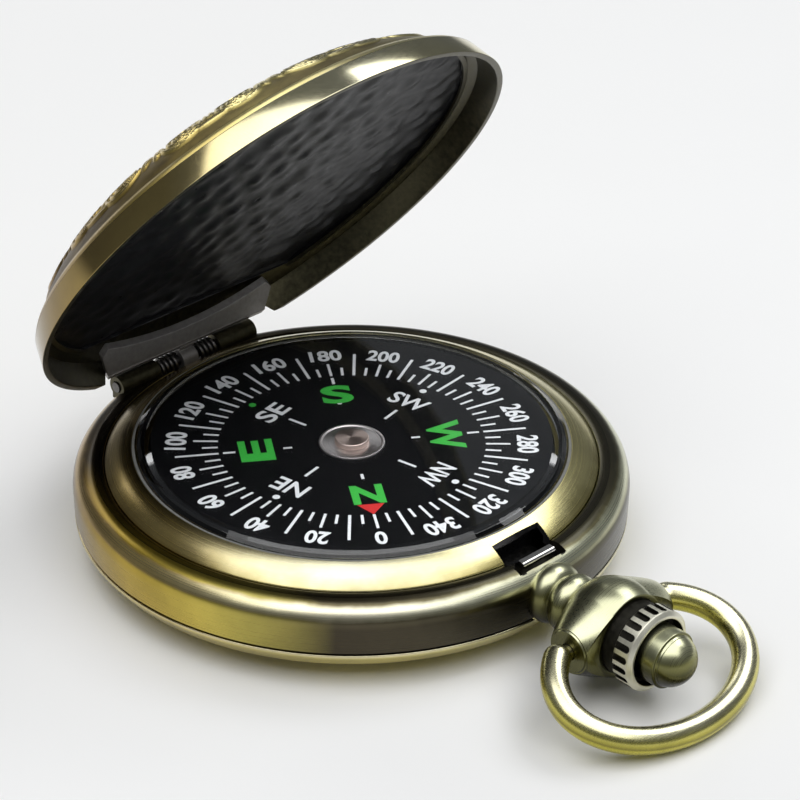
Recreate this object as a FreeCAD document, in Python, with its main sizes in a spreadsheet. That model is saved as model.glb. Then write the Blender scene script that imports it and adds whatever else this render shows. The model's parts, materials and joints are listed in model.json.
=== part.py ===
"""Pocket compass with a hinged hunter lid, a push-button crown and a bow ring.

Units are millimetres.  The origin is the centre of the flat rest face of the back, +Z is up, the crown
and the bow point along -Y, and the lid's hinge axis lies along X at +Y.
At rest the lid stands open, the bow has dropped until its far end touches the table, and the button is out.
"""
import FreeCAD, Part
import math
import os
import re
import Sketcher
from FreeCAD import Placement, Rotation, Vector

doc = FreeCAD.newDocument("pocket_compass")
sheet = doc.addObject("Spreadsheet::Sheet", "Sizes")

SIZES = [
    # case middle
    ("case_radius", 25.0, "widest radius of the case"),
    ("skirt_radius", 24.95, "outer radius of the case at its lower edge"),
    ("skirt_z", 3.6, "lower edge of the case middle"),
    ("flank_z", 6.0, "where the upright flank turns into the shoulder"),
    ("shoulder_arc", 2.079, "radius of the rounded shoulder"),
    ("seat_radius", 22.2, "radius of the seat that holds the bezel"),
    ("seat_z", 7.95, "upper edge of the case at the bezel joint"),
    ("seat_floor_z", 6.9, "floor of the bezel seat"),
    ("case_bore", 21.2, "inner radius of the case middle"),
    ("ledge_bore", 20.0, "inner radius of the ledge that carries the catch screw"),
    ("ledge_top_z", 5.0, "top of that ledge"),
    ("ledge_floor_z", 4.6, "underside of that ledge"),
    ("cover_spigot", 24.2, "outer radius of the back cover's snap ring"),
    # back cover
    ("rest_radius", 16.4, "radius of the flat rest face"),
    ("back_arc", 15.6, "radius of the curve between rest face and edge"),
    ("back_edge", 24.3, "radius where the back curve ends"),
    ("back_edge_z", 2.15, "height where the back curve ends"),
    ("cover_rim_z", 3.4, "top of the back cover's outer edge"),
    ("cover_wall", 0.9, "wall of the back cover"),
    # bezel, crystal, capsule
    ("bezel_radius", 22.1, "outer radius of the bezel"),
    ("bezel_bore", 19.65, "bore that holds the crystal"),
    ("bezel_top_z", 9.45, "top inner edge of the bezel"),
    ("bezel_arc", 8.0, "radius of the bezel's crowned slope"),
    ("bezel_lip", 21.3, "inner radius of the bezel's lower lip"),
    ("bezel_lip_z", 7.25, "bottom of the bezel's lower lip"),
    ("sight_radius", 18.95, "clear radius under the crystal"),
    ("crystal_radius", 19.4, "radius of the crystal"),
    ("crystal_seat_z", 9.12, "underside of the crystal at its edge"),
    ("crystal_edge_z", 9.5, "top of the crystal's upright edge"),
    ("crystal_bevel", 18.2, "radius where the crystal's bevel ends"),
    ("crystal_bevel_z", 9.93, "height where the crystal's bevel ends"),
    ("crystal_top_z", 10.25, "top of the crystal"),
    ("crystal_under_z", 9.5, "underside of the crystal at its centre"),
    ("capsule_radius", 19.5, "outer radius of the compass capsule"),
    ("capsule_bore", 19.0, "inner radius of the compass capsule"),
    ("capsule_flange", 20.2, "flange that hangs the capsule under the bezel"),
    ("capsule_flange_z", 8.2, "underside of that flange"),
    ("capsule_top_z", 8.7, "top of the capsule"),
    ("capsule_floor_z", 4.9, "underside of the capsule floor"),
    ("capsule_floor_top_z", 5.4, "top of the capsule floor"),
    # card and pivot
    ("card_radius", 18.5, "radius of the turning card"),
    ("card_top_z", 8.8, "printed face of the card"),
    ("card_thick", 0.35, "thickness of the card"),
    ("card_heading_deg", 146.2, "bearing of the card at rest, from +Y"),
    ("hub_radius", 3.0, "radius of the hub's steel disc"),
    ("hub_thick", 0.18, "thickness of that disc"),
    ("sleeve_radius", 1.35, "radius of the hub's sleeve"),
    ("sleeve_z", 7.7, "lower end of the hub's sleeve"),
    ("jewel_radius", 0.95, "radius of the jewel bearing"),
    ("jewel_z", 8.0, "lower face of the jewel bearing"),
    ("jewel_top_z", 8.6, "upper face of the jewel bearing"),
    ("cap_radius", 1.6, "radius of the raised hub cap"),
    ("cap_top_z", 9.28, "top of the hub cap"),
    ("magnet_length", 13.0, "length of a bar magnet"),
    ("magnet_width", 2.2, "width of a bar magnet"),
    ("magnet_height", 1.0, "height of a bar magnet"),
    ("magnet_offset", 3.4, "distance of a bar magnet from the card's north line"),
    ("post_radius", 1.2, "radius of the pivot post"),
    ("post_foot", 2.4, "radius of the pivot post's foot"),
    ("post_top_z", 6.9, "top of the pivot post"),
    ("pin_radius", 0.3, "radius of the needle pin"),
    ("pin_tip_z", 8.36, "tip of the needle pin"),
    # hinge
    ("hinge_y", 23.2, "hinge axis, distance from the case centre"),
    ("hinge_z", 8.12, "hinge axis, height"),
    ("hinge_half", 8.2, "half the length of the hinge barrel"),
    ("barrel_radius", 1.05, "radius of the hinge barrel"),
    ("knuckle_inner", 3.6, "inner end of the case's two knuckles"),
    ("lug_half", 0.9, "half the length of the lid's knuckle"),
    ("hinge_pin_radius", 0.5, "radius of the hinge pin"),
    ("hinge_bore", 0.55, "bore of the knuckles"),
    ("hinge_seat_z", 6.75, "floor of the hinge recess in the case"),
    ("hinge_seat_y", 22.12, "front of the hinge recess in the case"),
    ("leaf_thick", 0.23, "thickness of the case leaf's foot plate"),
    ("leaf_reach", 1.25, "how far the foot plate reaches behind the hinge axis"),
    ("leaf_flat", 4.0, "half the length of the foot plate's straight back edge"),
    ("hinge_coil_radius", 0.78, "mean radius of a hinge spring"),
    ("hinge_coil_wire", 0.2, "wire radius of a hinge spring"),
    ("hinge_coil_turns", 4, "turns of a hinge spring"),
    ("hinge_coil_gap", 0.3, "gap between a hinge spring and the knuckles beside it"),
    ("lid_open_deg", 54.7, "angle at which the lid stands open at rest"),
    # lid, given closed
    ("lid_rim_z", 8.11, "rim plane of the closed lid"),
    ("lid_radius", 24.27, "outer radius of the lid's rim"),
    ("lid_wall", 0.6, "wall of the lid"),
    ("crease_radius", 23.6, "radius of the crease between band and dome"),
    ("crease_rise", 2.24, "height of the crease above the rim"),
    ("dome_flat", 14.0, "radius where the dome's top meets its shoulder"),
    ("dome_flat_rise", 6.9, "height of that place above the rim"),
    ("dome_arc", 12.4, "radius of the dome's shoulder"),
    ("dome_rise", 7.45, "height of the lid's top above the rim"),
    ("chord_y", 21.27, "straight cut in the lid's band at the hinge"),
    ("chord_rise", 1.95, "height of that cut above the rim"),
    ("lining_rise", 2.8, "height of the lining above the rim"),
    ("lining_thick", 0.4, "thickness of the lining"),
    ("lining_radius", 22.2, "radius of the lining's face"),
    ("lining_bevel", 0.9, "how much smaller the lining is on its hidden side"),
    ("lining_ring_width", 0.45, "width of the ring that holds the lining"),
    ("lining_ring_thick", 0.25, "thickness of that ring"),
    ("plate_inner_y", 17.6, "inner edge of the hinge plate"),
    ("plate_half", 9.4, "half the length of the hinge plate's straight edge"),
    ("plate_thick", 0.5, "thickness of the hinge plate"),
    ("plate_rise", 0.64, "height of the plate's underside above the rim at the straight cut"),
    ("plate_lip", 0.6, "width of the upright lip along the straight cut"),
    # pendant, crown, button; radii about the pendant axis, lengths along -Y
    ("pendant_z", 5.4, "height of the pendant axis"),
    ("tenon_radius", 1.1, "radius of the neck's tenon through the case wall"),
    ("neck_play", 0.03, "play of the neck in the case and back cover"),
    ("bead_radius", 2.75, "greatest radius of the neck's first bead"),
    ("collar_radius", 2.3, "radius of the neck's collar in the case"),
    ("collar_y", 23.95, "inner end of that collar"),
    ("waist_radius", 2.15, "radius of the neck between its beads"),
    ("bead_start", 24.3, "start of the first bead"),
    ("bead_middle", 26.35, "waist between the two beads"),
    ("bead_end", 28.5, "end of the second bead"),
    ("bead_arc_one", 1.3, "radius of the first bead's curve"),
    ("bead_arc_two", 1.4, "radius of the second bead's curve"),
    ("ball_y", 32.0, "centre of the pendant ball and of the bow's pivots"),
    ("ball_radius", 4.3, "radius of the pendant ball"),
    ("ball_start", 29.24, "where the flare meets the ball"),
    ("flare_arc", 1.6, "radius of the flare between the neck and the ball"),
    ("cup_y", 34.0, "rim of the ball's open end"),
    ("cup_bore", 3.35, "radius of the cavity in the ball"),
    ("cup_floor", 31.2, "floor of the cavity"),
    ("boss_half", 5.45, "half the width over the bow's two bosses"),
    ("boss_radius", 1.95, "radius of a boss"),
    ("boss_bore", 0.78, "bore for the bow's end pins"),
    ("stem_radius", 0.55, "radius of the button's stem"),
    ("stem_bore", 0.62, "bore for the stem"),
    ("stem_tip", 21.1, "inner end of the stem"),
    ("crown_radius", 3.65, "outer radius of the fluted crown"),
    ("crown_back", 35.3, "back of the fluted crown"),
    ("crown_front", 37.2, "front of the fluted crown"),
    ("crown_bore", 2.65, "bore of the crown"),
    ("recess_radius", 3.05, "radius of the crown's recess round the button"),
    ("recess_depth", 1.0, "depth of that recess"),
    ("flute_count", 22, "number of flutes"),
    ("flute_width", 0.62, "width of a flute"),
    ("flute_depth", 0.38, "depth of a flute"),
    ("flute_length", 1.5, "length of a flute"),
    ("button_radius", 2.55, "radius of the button's barrel"),
    ("button_back", 36.0, "back of the button"),
    ("button_step", 38.75, "front edge of the barrel"),
    ("button_dome_radius", 2.25, "radius of the button's dome"),
    ("button_dome_y", 39.05, "foot of the button's dome"),
    ("button_tip", 40.7, "tip of the button's dome"),
    ("coil_radius", 1.6, "mean radius of the return spring"),
    ("coil_wire", 0.2, "wire radius of the return spring"),
    ("coil_turns", 6, "turns of the return spring"),
    ("coil_slack", 0.9, "clear way between the return spring and the button"),
    # catch
    ("notch_half", 2.8, "half the width of the catch notch"),
    ("notch_outer", 23.9, "outer end of the catch notch"),
    ("notch_inner", 20.4, "inner end of the notch in the bezel"),
    ("notch_floor_z", 6.6, "floor of the catch notch"),
    ("lever_inner", 20.4, "inner radius of the catch lever"),
    ("lever_outer", 20.9, "outer radius of the catch lever"),
    ("lever_z", 5.1, "underside of the catch lever"),
    ("lever_top_z", 6.3, "top of the catch lever"),
    ("lever_deg", 53.0, "angle along the case from the catch to its screw"),
    ("screw_circle", 20.35, "distance of the catch screw from the case centre"),
    ("screw_shank", 0.4, "radius of the screw's shank"),
    ("screw_head", 0.75, "radius of the screw's head"),
    ("hook_half", 1.9, "half the width of the catch hook"),
    ("hook_top_z", 8.3, "top of the catch hook"),
    ("hook_arm_z", 7.15, "top of the arm that carries the hook"),
    ("hook_inner", 22.35, "inner face of the hook"),
    ("hook_stem", 23.1, "outer face of the hook's stem"),
    ("hook_nose", 23.45, "outer end of the hook's nose"),
    ("hook_round", 0.35, "rounding of the hook's inner top edge"),
    ("hook_nose_round", 0.3, "rounding of the hook's nose"),
    # bow
    ("bow_half", 9.77, "half the width of the bow along its wire's centre"),
    ("bow_depth", 6.6, "half the depth of the bow's oval"),
    ("bow_centre", 4.8, "distance of the oval's centre from the pivots"),
    ("bow_wire", 1.18, "radius of the bow's wire"),
    ("bow_pin_radius", 0.7, "radius of the bow's end pins"),
    ("bow_pin_end", 3.9, "inner end of the bow's end pins"),
]

for row, (alias, value, note) in enumerate(SIZES, start=1):
    sheet.set(f"A{row}", alias)
    sheet.set(f"B{row}", str(value))
    sheet.set(f"C{row}", note)
    sheet.setAlias(f"B{row}", alias)
doc.recompute()


def bound(text):
    """An expression whose sheet names (words joined by underscores) carry the sheet's own name."""
    return re.sub(r"\b([a-z]+(?:_[a-z]+)+)\b", r"Sizes.\1", str(text))


def size(text):
    """The number that an expression has now."""
    return float(sheet.evalExpression(bound(text)))


def plane(body, role):
    return next(f for f in body.Origin.OriginFeatures if f.Role == role)


def arc_between(start, end, radius, side):
    """A circle arc from start to end; side +1 puts its centre to the left of the way there."""
    middle = (start + end) * 0.5
    way = end - start
    left = Vector(-way.y, way.x, 0)
    left.normalize()
    height = math.sqrt(max(radius ** 2 - (way.Length / 2) ** 2, 0.0))
    centre = middle + left * (height * side)
    angles = [math.atan2(p.y - centre.y, p.x - centre.x) for p in (start, end)]
    if side < 0:
        angles.reverse()
    circle = Part.Circle(centre, Vector(0, 0, 1), radius)
    return Part.ArcOfCircle(circle, angles[0], angles[1])


def draw(sketch, outline):
    """Draw one closed outline.

    Each corner is (x, y) or (x, y, radius, side), all expressions; the last two make the edge that
    leaves this corner an arc.  Every coordinate and radius is a constraint bound to its expression.
    """
    count = len(outline)
    points = [Vector(size(c[0]), size(c[1]), 0) for c in outline]
    starts = []
    for i, corner in enumerate(outline):
        here = points[i]
        there = points[(i + 1) % count]
        if len(corner) == 2:
            starts.append((sketch.addGeometry(Part.LineSegment(here, there)), 1, 2))
            continue
        side = corner[3]
        edge = sketch.addGeometry(arc_between(here, there, size(corner[2]), side))
        starts.append((edge, 1, 2) if side > 0 else (edge, 2, 1))
        radius = sketch.addConstraint(Sketcher.Constraint("Radius", edge, size(corner[2])))
        sketch.setExpression(f"Constraints[{radius}]", bound(corner[2]))
    for i, corner in enumerate(outline):
        edge, begin, finish = starts[i]
        following, next_begin, _ = starts[(i + 1) % count]
        sketch.addConstraint(Sketcher.Constraint("Coincident", edge, finish, following, next_begin))
        for kind, text in (("DistanceX", corner[0]), ("DistanceY", corner[1])):
            place = sketch.addConstraint(Sketcher.Constraint(kind, edge, begin, size(text)))
            sketch.setExpression(f"Constraints[{place}]", bound(text))


def draw_circle(sketch, x, y, radius):
    edge = sketch.addGeometry(Part.Circle(Vector(size(x), size(y), 0), Vector(0, 0, 1), size(radius)))
    for kind, text in (("DistanceX", x), ("DistanceY", y)):
        place = sketch.addConstraint(Sketcher.Constraint(kind, edge, 3, size(text)))
        sketch.setExpression(f"Constraints[{place}]", bound(text))
    wide = sketch.addConstraint(Sketcher.Constraint("Radius", edge, size(radius)))
    sketch.setExpression(f"Constraints[{wide}]", bound(radius))


def cap_arc(width, rise):
    """Radius of a round cap, centred on the axis, that is this wide and this high."""
    return f"(({width}) ^ 2 + ({rise}) ^ 2) / (2 * ({rise}))"


def box_outline(x_low, x_high, y_low, y_high):
    return [(x_low, y_low), (x_high, y_low), (x_high, y_high), (x_low, y_high)]


def new_body(label):
    body = doc.addObject("PartDesign::Body", label)
    body.Label = label
    return body


def new_sketch(body, role, outlines=(), circles=(), lift=None):
    """A sketch on one of the body's own planes, lifted along the plane's normal if asked."""
    sketch = body.newObject("Sketcher::SketchObject", f"{body.Name}_sketch")
    sketch.AttachmentSupport = [(plane(body, role), "")]
    sketch.MapMode = "FlatFace"
    if lift is not None:
        sketch.AttachmentOffset = Placement(Vector(0, 0, size(lift)), Rotation())
        sketch.setExpression("AttachmentOffset.Base.z", bound(lift))
    for outline in outlines:
        draw(sketch, outline)
    for x, y, radius in circles:
        draw_circle(sketch, x, y, radius)
    return sketch


def volume(body):
    doc.recompute()
    return body.Shape.Volume if not body.Shape.isNull() else 0.0


def turn(body, role, outline, cut=False, lift=None):
    """Turn an outline about the sketch's upright axis, as material or as a groove."""
    before = volume(body) if cut else 0.0
    sketch = new_sketch(body, role, [outline], lift=lift)
    kind = "PartDesign::Groove" if cut else "PartDesign::Revolution"
    feature = body.newObject(kind, f"{body.Name}_turned")
    feature.Profile = sketch
    feature.ReferenceAxis = (sketch, ["V_Axis"])
    feature.Angle = 360.0
    if cut and not volume(body) < before - 1e-6:
        raise RuntimeError(f"{body.Label}: a groove cut nothing")
    return feature


def pad(body, role, length, outlines=(), circles=(), lift=None, symmetric=True, reverse=False):
    sketch = new_sketch(body, role, outlines, circles, lift)
    feature = body.newObject("PartDesign::Pad", f"{body.Name}_pad")
    feature.Profile = sketch
    feature.SideType = "Symmetric" if symmetric else "One side"
    feature.Reversed = reverse
    feature.Length = size(length)
    feature.setExpression("Length", bound(length))
    doc.recompute()
    return feature


def pocket(body, role, length, outlines=(), circles=(), lift=None, symmetric=True, reverse=False):
    before = volume(body)
    sketch = new_sketch(body, role, outlines, circles, lift)
    feature = body.newObject("PartDesign::Pocket", f"{body.Name}_pocket")
    feature.Profile = sketch
    feature.SideType = "Symmetric" if symmetric else "One side"
    feature.Reversed = reverse
    feature.Length = size(length)
    feature.setExpression("Length", bound(length))
    if not volume(body) < before - 1e-6:
        raise RuntimeError(f"{body.Label}: a pocket cut nothing")
    return feature


def ring_about_z(label, outline):
    body = new_body(label)
    turn(body, "XZ_Plane", outline)
    return body


# ---------------------------------------------------------------- case and its covers
def cut_neck_socket(body, steps):
    """The stepped hole for the pendant neck; each step is (radius, where it starts along the neck)."""
    for radius, start in steps:
        pocket(body, "XZ_Plane", "case_radius", circles=[("0", "pendant_z", f"{radius} + neck_play")],
               lift=start, symmetric=False, reverse=True)


def make_case():
    body = ring_about_z("case_body", [
        ("ledge_bore", "ledge_floor_z"), ("cover_spigot", "ledge_floor_z"), ("cover_spigot", "skirt_z"),
        ("skirt_radius", "skirt_z"), ("case_radius", "flank_z", "shoulder_arc", 1),
        ("seat_radius", "seat_z"), ("seat_radius", "seat_floor_z"), ("case_bore", "seat_floor_z"),
        ("case_bore", "ledge_top_z"), ("ledge_bore", "ledge_top_z")])
    cut_neck_socket(body, [("tenon_radius", "ledge_bore / 2"), ("collar_radius", "collar_y - neck_play"),
                           ("bead_radius", "bead_start - neck_play")])
    # notch for the catch, open to the inside
    pocket(body, "YZ_Plane", "2 * notch_half",
           [box_outline("-notch_outer", "-lever_outer", "notch_floor_z", "bezel_top_z")])
    # recess for the hinge
    pocket(body, "YZ_Plane", "2 * hinge_half + 0.5",
           [box_outline("hinge_seat_y", "case_radius + 1", "hinge_seat_z", "bezel_top_z")])
    # hole for the catch screw
    x, y = screw_place()
    pocket(body, "XY_Plane", "2 * seat_z", circles=[(x, y, "screw_shank + 0.02")])


def screw_place():
    return "screw_circle * sin(lever_deg)", "-screw_circle * cos(lever_deg)"


def make_back_cover():
    body = ring_about_z("back_cover", [
        ("0", "0"), ("rest_radius", "0", "back_arc", 1), ("back_edge", "back_edge_z"),
        ("skirt_radius", "cover_rim_z - 0.3"), ("skirt_radius", "cover_rim_z"),
        ("cover_spigot", "cover_rim_z"), ("cover_spigot", "ledge_floor_z - 0.35"),
        ("cover_spigot - cover_wall", "ledge_floor_z - 0.35"),
        ("cover_spigot - cover_wall", "back_edge_z + 0.75", "back_arc - cover_wall", -1),
        ("rest_radius - 0.4", "cover_wall"), ("0", "cover_wall")])
    cut_neck_socket(body, [("collar_radius", "collar_y - neck_play"), ("bead_radius", "bead_start - neck_play")])


def make_bezel():
    body = ring_about_z("bezel", [
        ("sight_radius", "capsule_top_z"), ("capsule_flange + 0.1", "capsule_top_z"),
        ("bezel_lip", "seat_z"), ("bezel_lip", "bezel_lip_z"), ("bezel_radius", "bezel_lip_z"),
        ("bezel_radius", "seat_z + 0.06", "bezel_arc", 1), ("bezel_bore", "bezel_top_z"),
        ("bezel_bore", "crystal_seat_z"), ("sight_radius", "crystal_seat_z")])
    pocket(body, "YZ_Plane", "2 * notch_half",
           [box_outline("-case_radius", "-notch_inner", "notch_floor_z", "bezel_top_z")])
    return body


def make_crystal():
    under = cap_arc("crystal_radius", "crystal_under_z - crystal_seat_z")
    over = cap_arc("crystal_bevel", "crystal_top_z - crystal_bevel_z")
    return ring_about_z("crystal", [
        ("0", "crystal_under_z", under, -1), ("crystal_radius", "crystal_seat_z"),
        ("crystal_radius", "crystal_edge_z"), ("crystal_bevel", "crystal_bevel_z", over, 1),
        ("0", "crystal_top_z")])


def make_gasket():
    return ring_about_z("crystal_gasket", box_outline(
        "crystal_radius", "bezel_bore", "crystal_seat_z", "crystal_seat_z + 0.25"))


def make_capsule():
    return ring_about_z("capsule_cup", [
        ("0", "capsule_floor_z"), ("capsule_radius", "capsule_floor_z"),
        ("capsule_radius", "capsule_flange_z"), ("capsule_flange", "capsule_flange_z"),
        ("capsule_flange", "capsule_top_z"), ("capsule_bore", "capsule_top_z"),
        ("capsule_bore", "capsule_floor_top_z"), ("0", "capsule_floor_top_z")])


# ---------------------------------------------------------------- pivot and card
def make_pivot():
    ring_about_z("pivot_post", [
        ("0", "capsule_floor_top_z"), ("post_foot", "capsule_floor_top_z"),
        ("post_foot", "capsule_floor_top_z + 0.3"), ("post_radius", "capsule_floor_top_z + 0.5"),
        ("post_radius", "post_top_z"), ("0", "post_top_z")])
    ring_about_z("pivot_pin", [
        ("0", "post_top_z"), ("pin_radius", "post_top_z"), ("pin_radius", "jewel_z - 0.1"),
        ("0", "pin_tip_z")])


def card_placement():
    return Placement(Vector(), Rotation(Vector(0, 0, 1), size("card_heading_deg")))


def make_card():
    pieces = [
        ring_about_z("compass_card", box_outline(
            "sleeve_radius", "card_radius", "card_top_z - card_thick", "card_top_z")),
        ring_about_z("card_hub", [
            ("jewel_radius", "sleeve_z"), ("sleeve_radius", "sleeve_z"), ("sleeve_radius", "card_top_z"),
            ("hub_radius", "card_top_z"), ("hub_radius - 0.05", "card_top_z + hub_thick"),
            ("0", "card_top_z + hub_thick"), ("0", "jewel_top_z"), ("jewel_radius", "jewel_top_z")]),
        ring_about_z("hub_cap", [
            ("0", "card_top_z + hub_thick"), ("cap_radius", "card_top_z + hub_thick"),
            ("cap_radius", "cap_top_z - 0.14"), ("cap_radius - 0.12", "cap_top_z - 0.02"),
            ("0", "cap_top_z - 0.02")]),
        ring_about_z("pivot_jewel", [
            ("jewel_radius - 0.25", "jewel_z"), ("jewel_radius", "jewel_z"), ("jewel_radius", "jewel_top_z"),
            ("0", "jewel_top_z"), ("0", "pin_tip_z + 0.06")]),
    ]
    for name, side in (("card_magnet_left", "-1"), ("card_magnet_right", "1")):
        magnet = new_body(name)
        low = f"{side} * magnet_offset - magnet_width / 2"
        high = f"{side} * magnet_offset + magnet_width / 2"
        pad(magnet, "XY_Plane", "magnet_height",
            [box_outline(low, high, "-magnet_length / 2", "magnet_length / 2")],
            lift="card_top_z - card_thick", symmetric=False, reverse=True)
        pieces.append(magnet)
    for piece in pieces:
        piece.Placement = card_placement()


# ---------------------------------------------------------------- hinge
def make_case_leaf():
    body = new_body("case_hinge_leaf")
    # foot plate, kept inside the round of the case
    pad(body, "XY_Plane", "leaf_thick", [[
        ("-hinge_half - 0.1", "hinge_seat_y"), ("hinge_half + 0.1", "hinge_seat_y"),
        ("hinge_half + 0.1", "hinge_y + 0.2"), ("leaf_flat", "hinge_y + leaf_reach"),
        ("-leaf_flat", "hinge_y + leaf_reach"), ("-hinge_half - 0.1", "hinge_y + 0.2")]],
        lift="hinge_seat_z", symmetric=False)
    # two knuckles on webs
    for low, high in (("-hinge_half", "-knuckle_inner"), ("knuckle_inner", "hinge_half")):
        pad(body, "YZ_Plane", f"{high} - {low}".replace("- -", "+ "),
            circles=[("hinge_y", "hinge_z", "barrel_radius")], lift=low, symmetric=False)
        pad(body, "XY_Plane", "hinge_z - hinge_seat_z",
            [box_outline(low, high, "hinge_seat_y + 0.05", "hinge_y + 0.7")],
            lift="hinge_seat_z", symmetric=False)
    pocket(body, "YZ_Plane", "4 * hinge_half", circles=[("hinge_y", "hinge_z", "hinge_bore")])
    return body


def make_hinge_pin():
    body = new_body("hinge_pin")
    pad(body, "YZ_Plane", "2 * hinge_half + 0.3", circles=[("hinge_y", "hinge_z", "hinge_pin_radius")])
    return body


def coil(label, start, along, length, radius, wire, turns):
    """A closed coil spring whose axis runs from start in the direction along."""
    helix = Part.makeHelix(length / turns, length, radius)
    section = Part.Wire(Part.Circle(Vector(radius, 0, 0), Vector(0, 1, 0), wire).toShape())
    spring = doc.addObject("Part::Feature", label)
    spring.Label = label
    spring.Shape = Part.Wire(helix.Edges).makePipeShell([section], True, True)
    spring.Placement = Placement(start, Rotation(Vector(0, 0, 1), along))
    return spring


def make_hinge_springs():
    length = size("knuckle_inner - lug_half - 2 * hinge_coil_gap")
    for label, side in (("hinge_spring_left", -1), ("hinge_spring_right", 1)):
        start = Vector(side * size("lug_half + hinge_coil_gap"), size("hinge_y"), size("hinge_z"))
        coil(label, start, Vector(side, 0, 0), length, size("hinge_coil_radius"),
             size("hinge_coil_wire"), size("hinge_coil_turns"))


# ---------------------------------------------------------------- lid, drawn closed and then opened
def lid_placement():
    axis_point = Vector(0, size("hinge_y"), size("hinge_z"))
    return Placement(Vector(), Rotation(Vector(-1, 0, 0), size("lid_open_deg")), axis_point)


def make_lid_shell():
    crown = cap_arc("dome_flat", "dome_rise - dome_flat_rise")
    body = ring_about_z("lid_shell", [
        ("lid_radius - lid_wall", "lid_rim_z"), ("lid_radius", "lid_rim_z"),
        ("crease_radius", "lid_rim_z + crease_rise", "dome_arc", 1),
        ("dome_flat", "lid_rim_z + dome_flat_rise", crown, 1), ("0", "lid_rim_z + dome_rise"),
        ("0", "lid_rim_z + dome_rise - lid_wall", crown, -1),
        ("dome_flat", "lid_rim_z + dome_flat_rise - lid_wall", "dome_arc - lid_wall", -1),
        ("crease_radius - lid_wall", "lid_rim_z + crease_rise")])
    pocket(body, "YZ_Plane", "2 * lid_radius",
           [box_outline("chord_y", "lid_radius + 1", "lid_rim_z - 1", "lid_rim_z + chord_rise")])
    return body


def make_lining():
    face = "lid_rim_z + lining_rise"
    disc = ring_about_z("lid_lining", [
        ("0", face), ("lining_radius", face), ("lining_radius - lining_bevel", f"{face} + lining_thick"),
        ("0", f"{face} + lining_thick")])
    ring = ring_about_z("lid_lining_ring", box_outline(
        "lining_radius - lining_ring_width", "lining_radius", f"{face} - lining_ring_thick", face))
    for piece in (disc, ring):
        pocket(piece, "YZ_Plane", "2 * lid_radius",
               [box_outline("plate_inner_y + 0.4", "lid_radius", "lid_rim_z", "lid_rim_z + dome_rise")])
    return [disc, ring]


def make_lid_leaf():
    body = new_body("lid_hinge_leaf")
    under = "lid_rim_z + plate_rise"
    top = "lid_rim_z + lining_rise"
    # sloping plate with an upright lip along the straight cut
    pad(body, "YZ_Plane", "2 * plate_half + 3", [[
        ("chord_y", f"{under} - 0.08"), ("chord_y + plate_lip", f"{under} - 0.08"),
        ("chord_y + plate_lip", f"{under} + plate_thick"), ("chord_y", f"{under} + plate_thick + 0.2"),
        ("plate_inner_y + 0.35", f"{top} + plate_thick"), ("plate_inner_y - 0.3", f"{top} + plate_thick"),
        ("plate_inner_y", top), ("chord_y", under)]])
    # trim the plate to its outline seen square on
    frame = box_outline("-lid_radius", "lid_radius", "0", "lid_radius + 1")
    edge = [("-plate_half", "chord_y + 0.7"), ("-plate_half - 0.9", "chord_y - 1.9"),
            ("-plate_half - 0.2", "plate_inner_y + 1.1", "45", -1),
            ("plate_half + 0.2", "plate_inner_y + 1.1"),
            ("plate_half + 0.9", "chord_y - 1.9"), ("plate_half", "chord_y + 0.7")]
    pocket(body, "XY_Plane", "4 * lid_rim_z", [frame, edge])
    # knuckle and its web
    pad(body, "YZ_Plane", "2 * lug_half", circles=[("hinge_y", "hinge_z", "barrel_radius")])
    pad(body, "YZ_Plane", "2 * lug_half",
        [box_outline("chord_y + 0.3", "hinge_y", f"{under} - 0.2", "hinge_z + 0.85")])
    pocket(body, "YZ_Plane", "4 * lug_half", circles=[("hinge_y", "hinge_z", "hinge_bore")])
    return body


def make_lid():
    pieces = [make_lid_shell(), make_lid_leaf()]
    pieces.extend(make_lining())
    for piece in pieces:
        piece.Placement = lid_placement()


# ---------------------------------------------------------------- pendant, crown and button
def pendant_placement():
    return Placement(Vector(0, 0, size("pendant_z")), Rotation())


def ball_at(distance):
    """Radius of the pendant ball at a distance along the pendant axis."""
    return f"sqrt(ball_radius ^ 2 - ({distance} - ball_y) ^ 2)"


def make_neck():
    body = new_body("pendant_neck")
    turn(body, "XY_Plane", [
        ("0", "-case_bore - 0.1"), ("tenon_radius", "-case_bore - 0.1"), ("tenon_radius", "-collar_y"),
        ("collar_radius", "-collar_y"), ("collar_radius", "-bead_start", "bead_arc_one", -1),
        ("waist_radius", "-bead_middle", "bead_arc_two", -1), ("waist_radius", "-bead_end", "flare_arc", 1),
        (ball_at("ball_start"), "-ball_start", "ball_radius", -1), (ball_at("cup_y"), "-cup_y"),
        ("0", "-cup_y")])
    pad(body, "YZ_Plane", "2 * boss_half", circles=[("-ball_y", "0", "boss_radius")])
    turn(body, "XY_Plane", [
        ("0", "-20"), ("stem_bore", "-20"), ("stem_bore", "-cup_floor"), ("cup_bore", "-cup_floor"),
        ("cup_bore", "-cup_y - 1"), ("0", "-cup_y - 1")], cut=True)
    pocket(body, "YZ_Plane", "4 * boss_half", circles=[("-ball_y", "0", "boss_bore")])
    body.Placement = pendant_placement()
    return body


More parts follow.
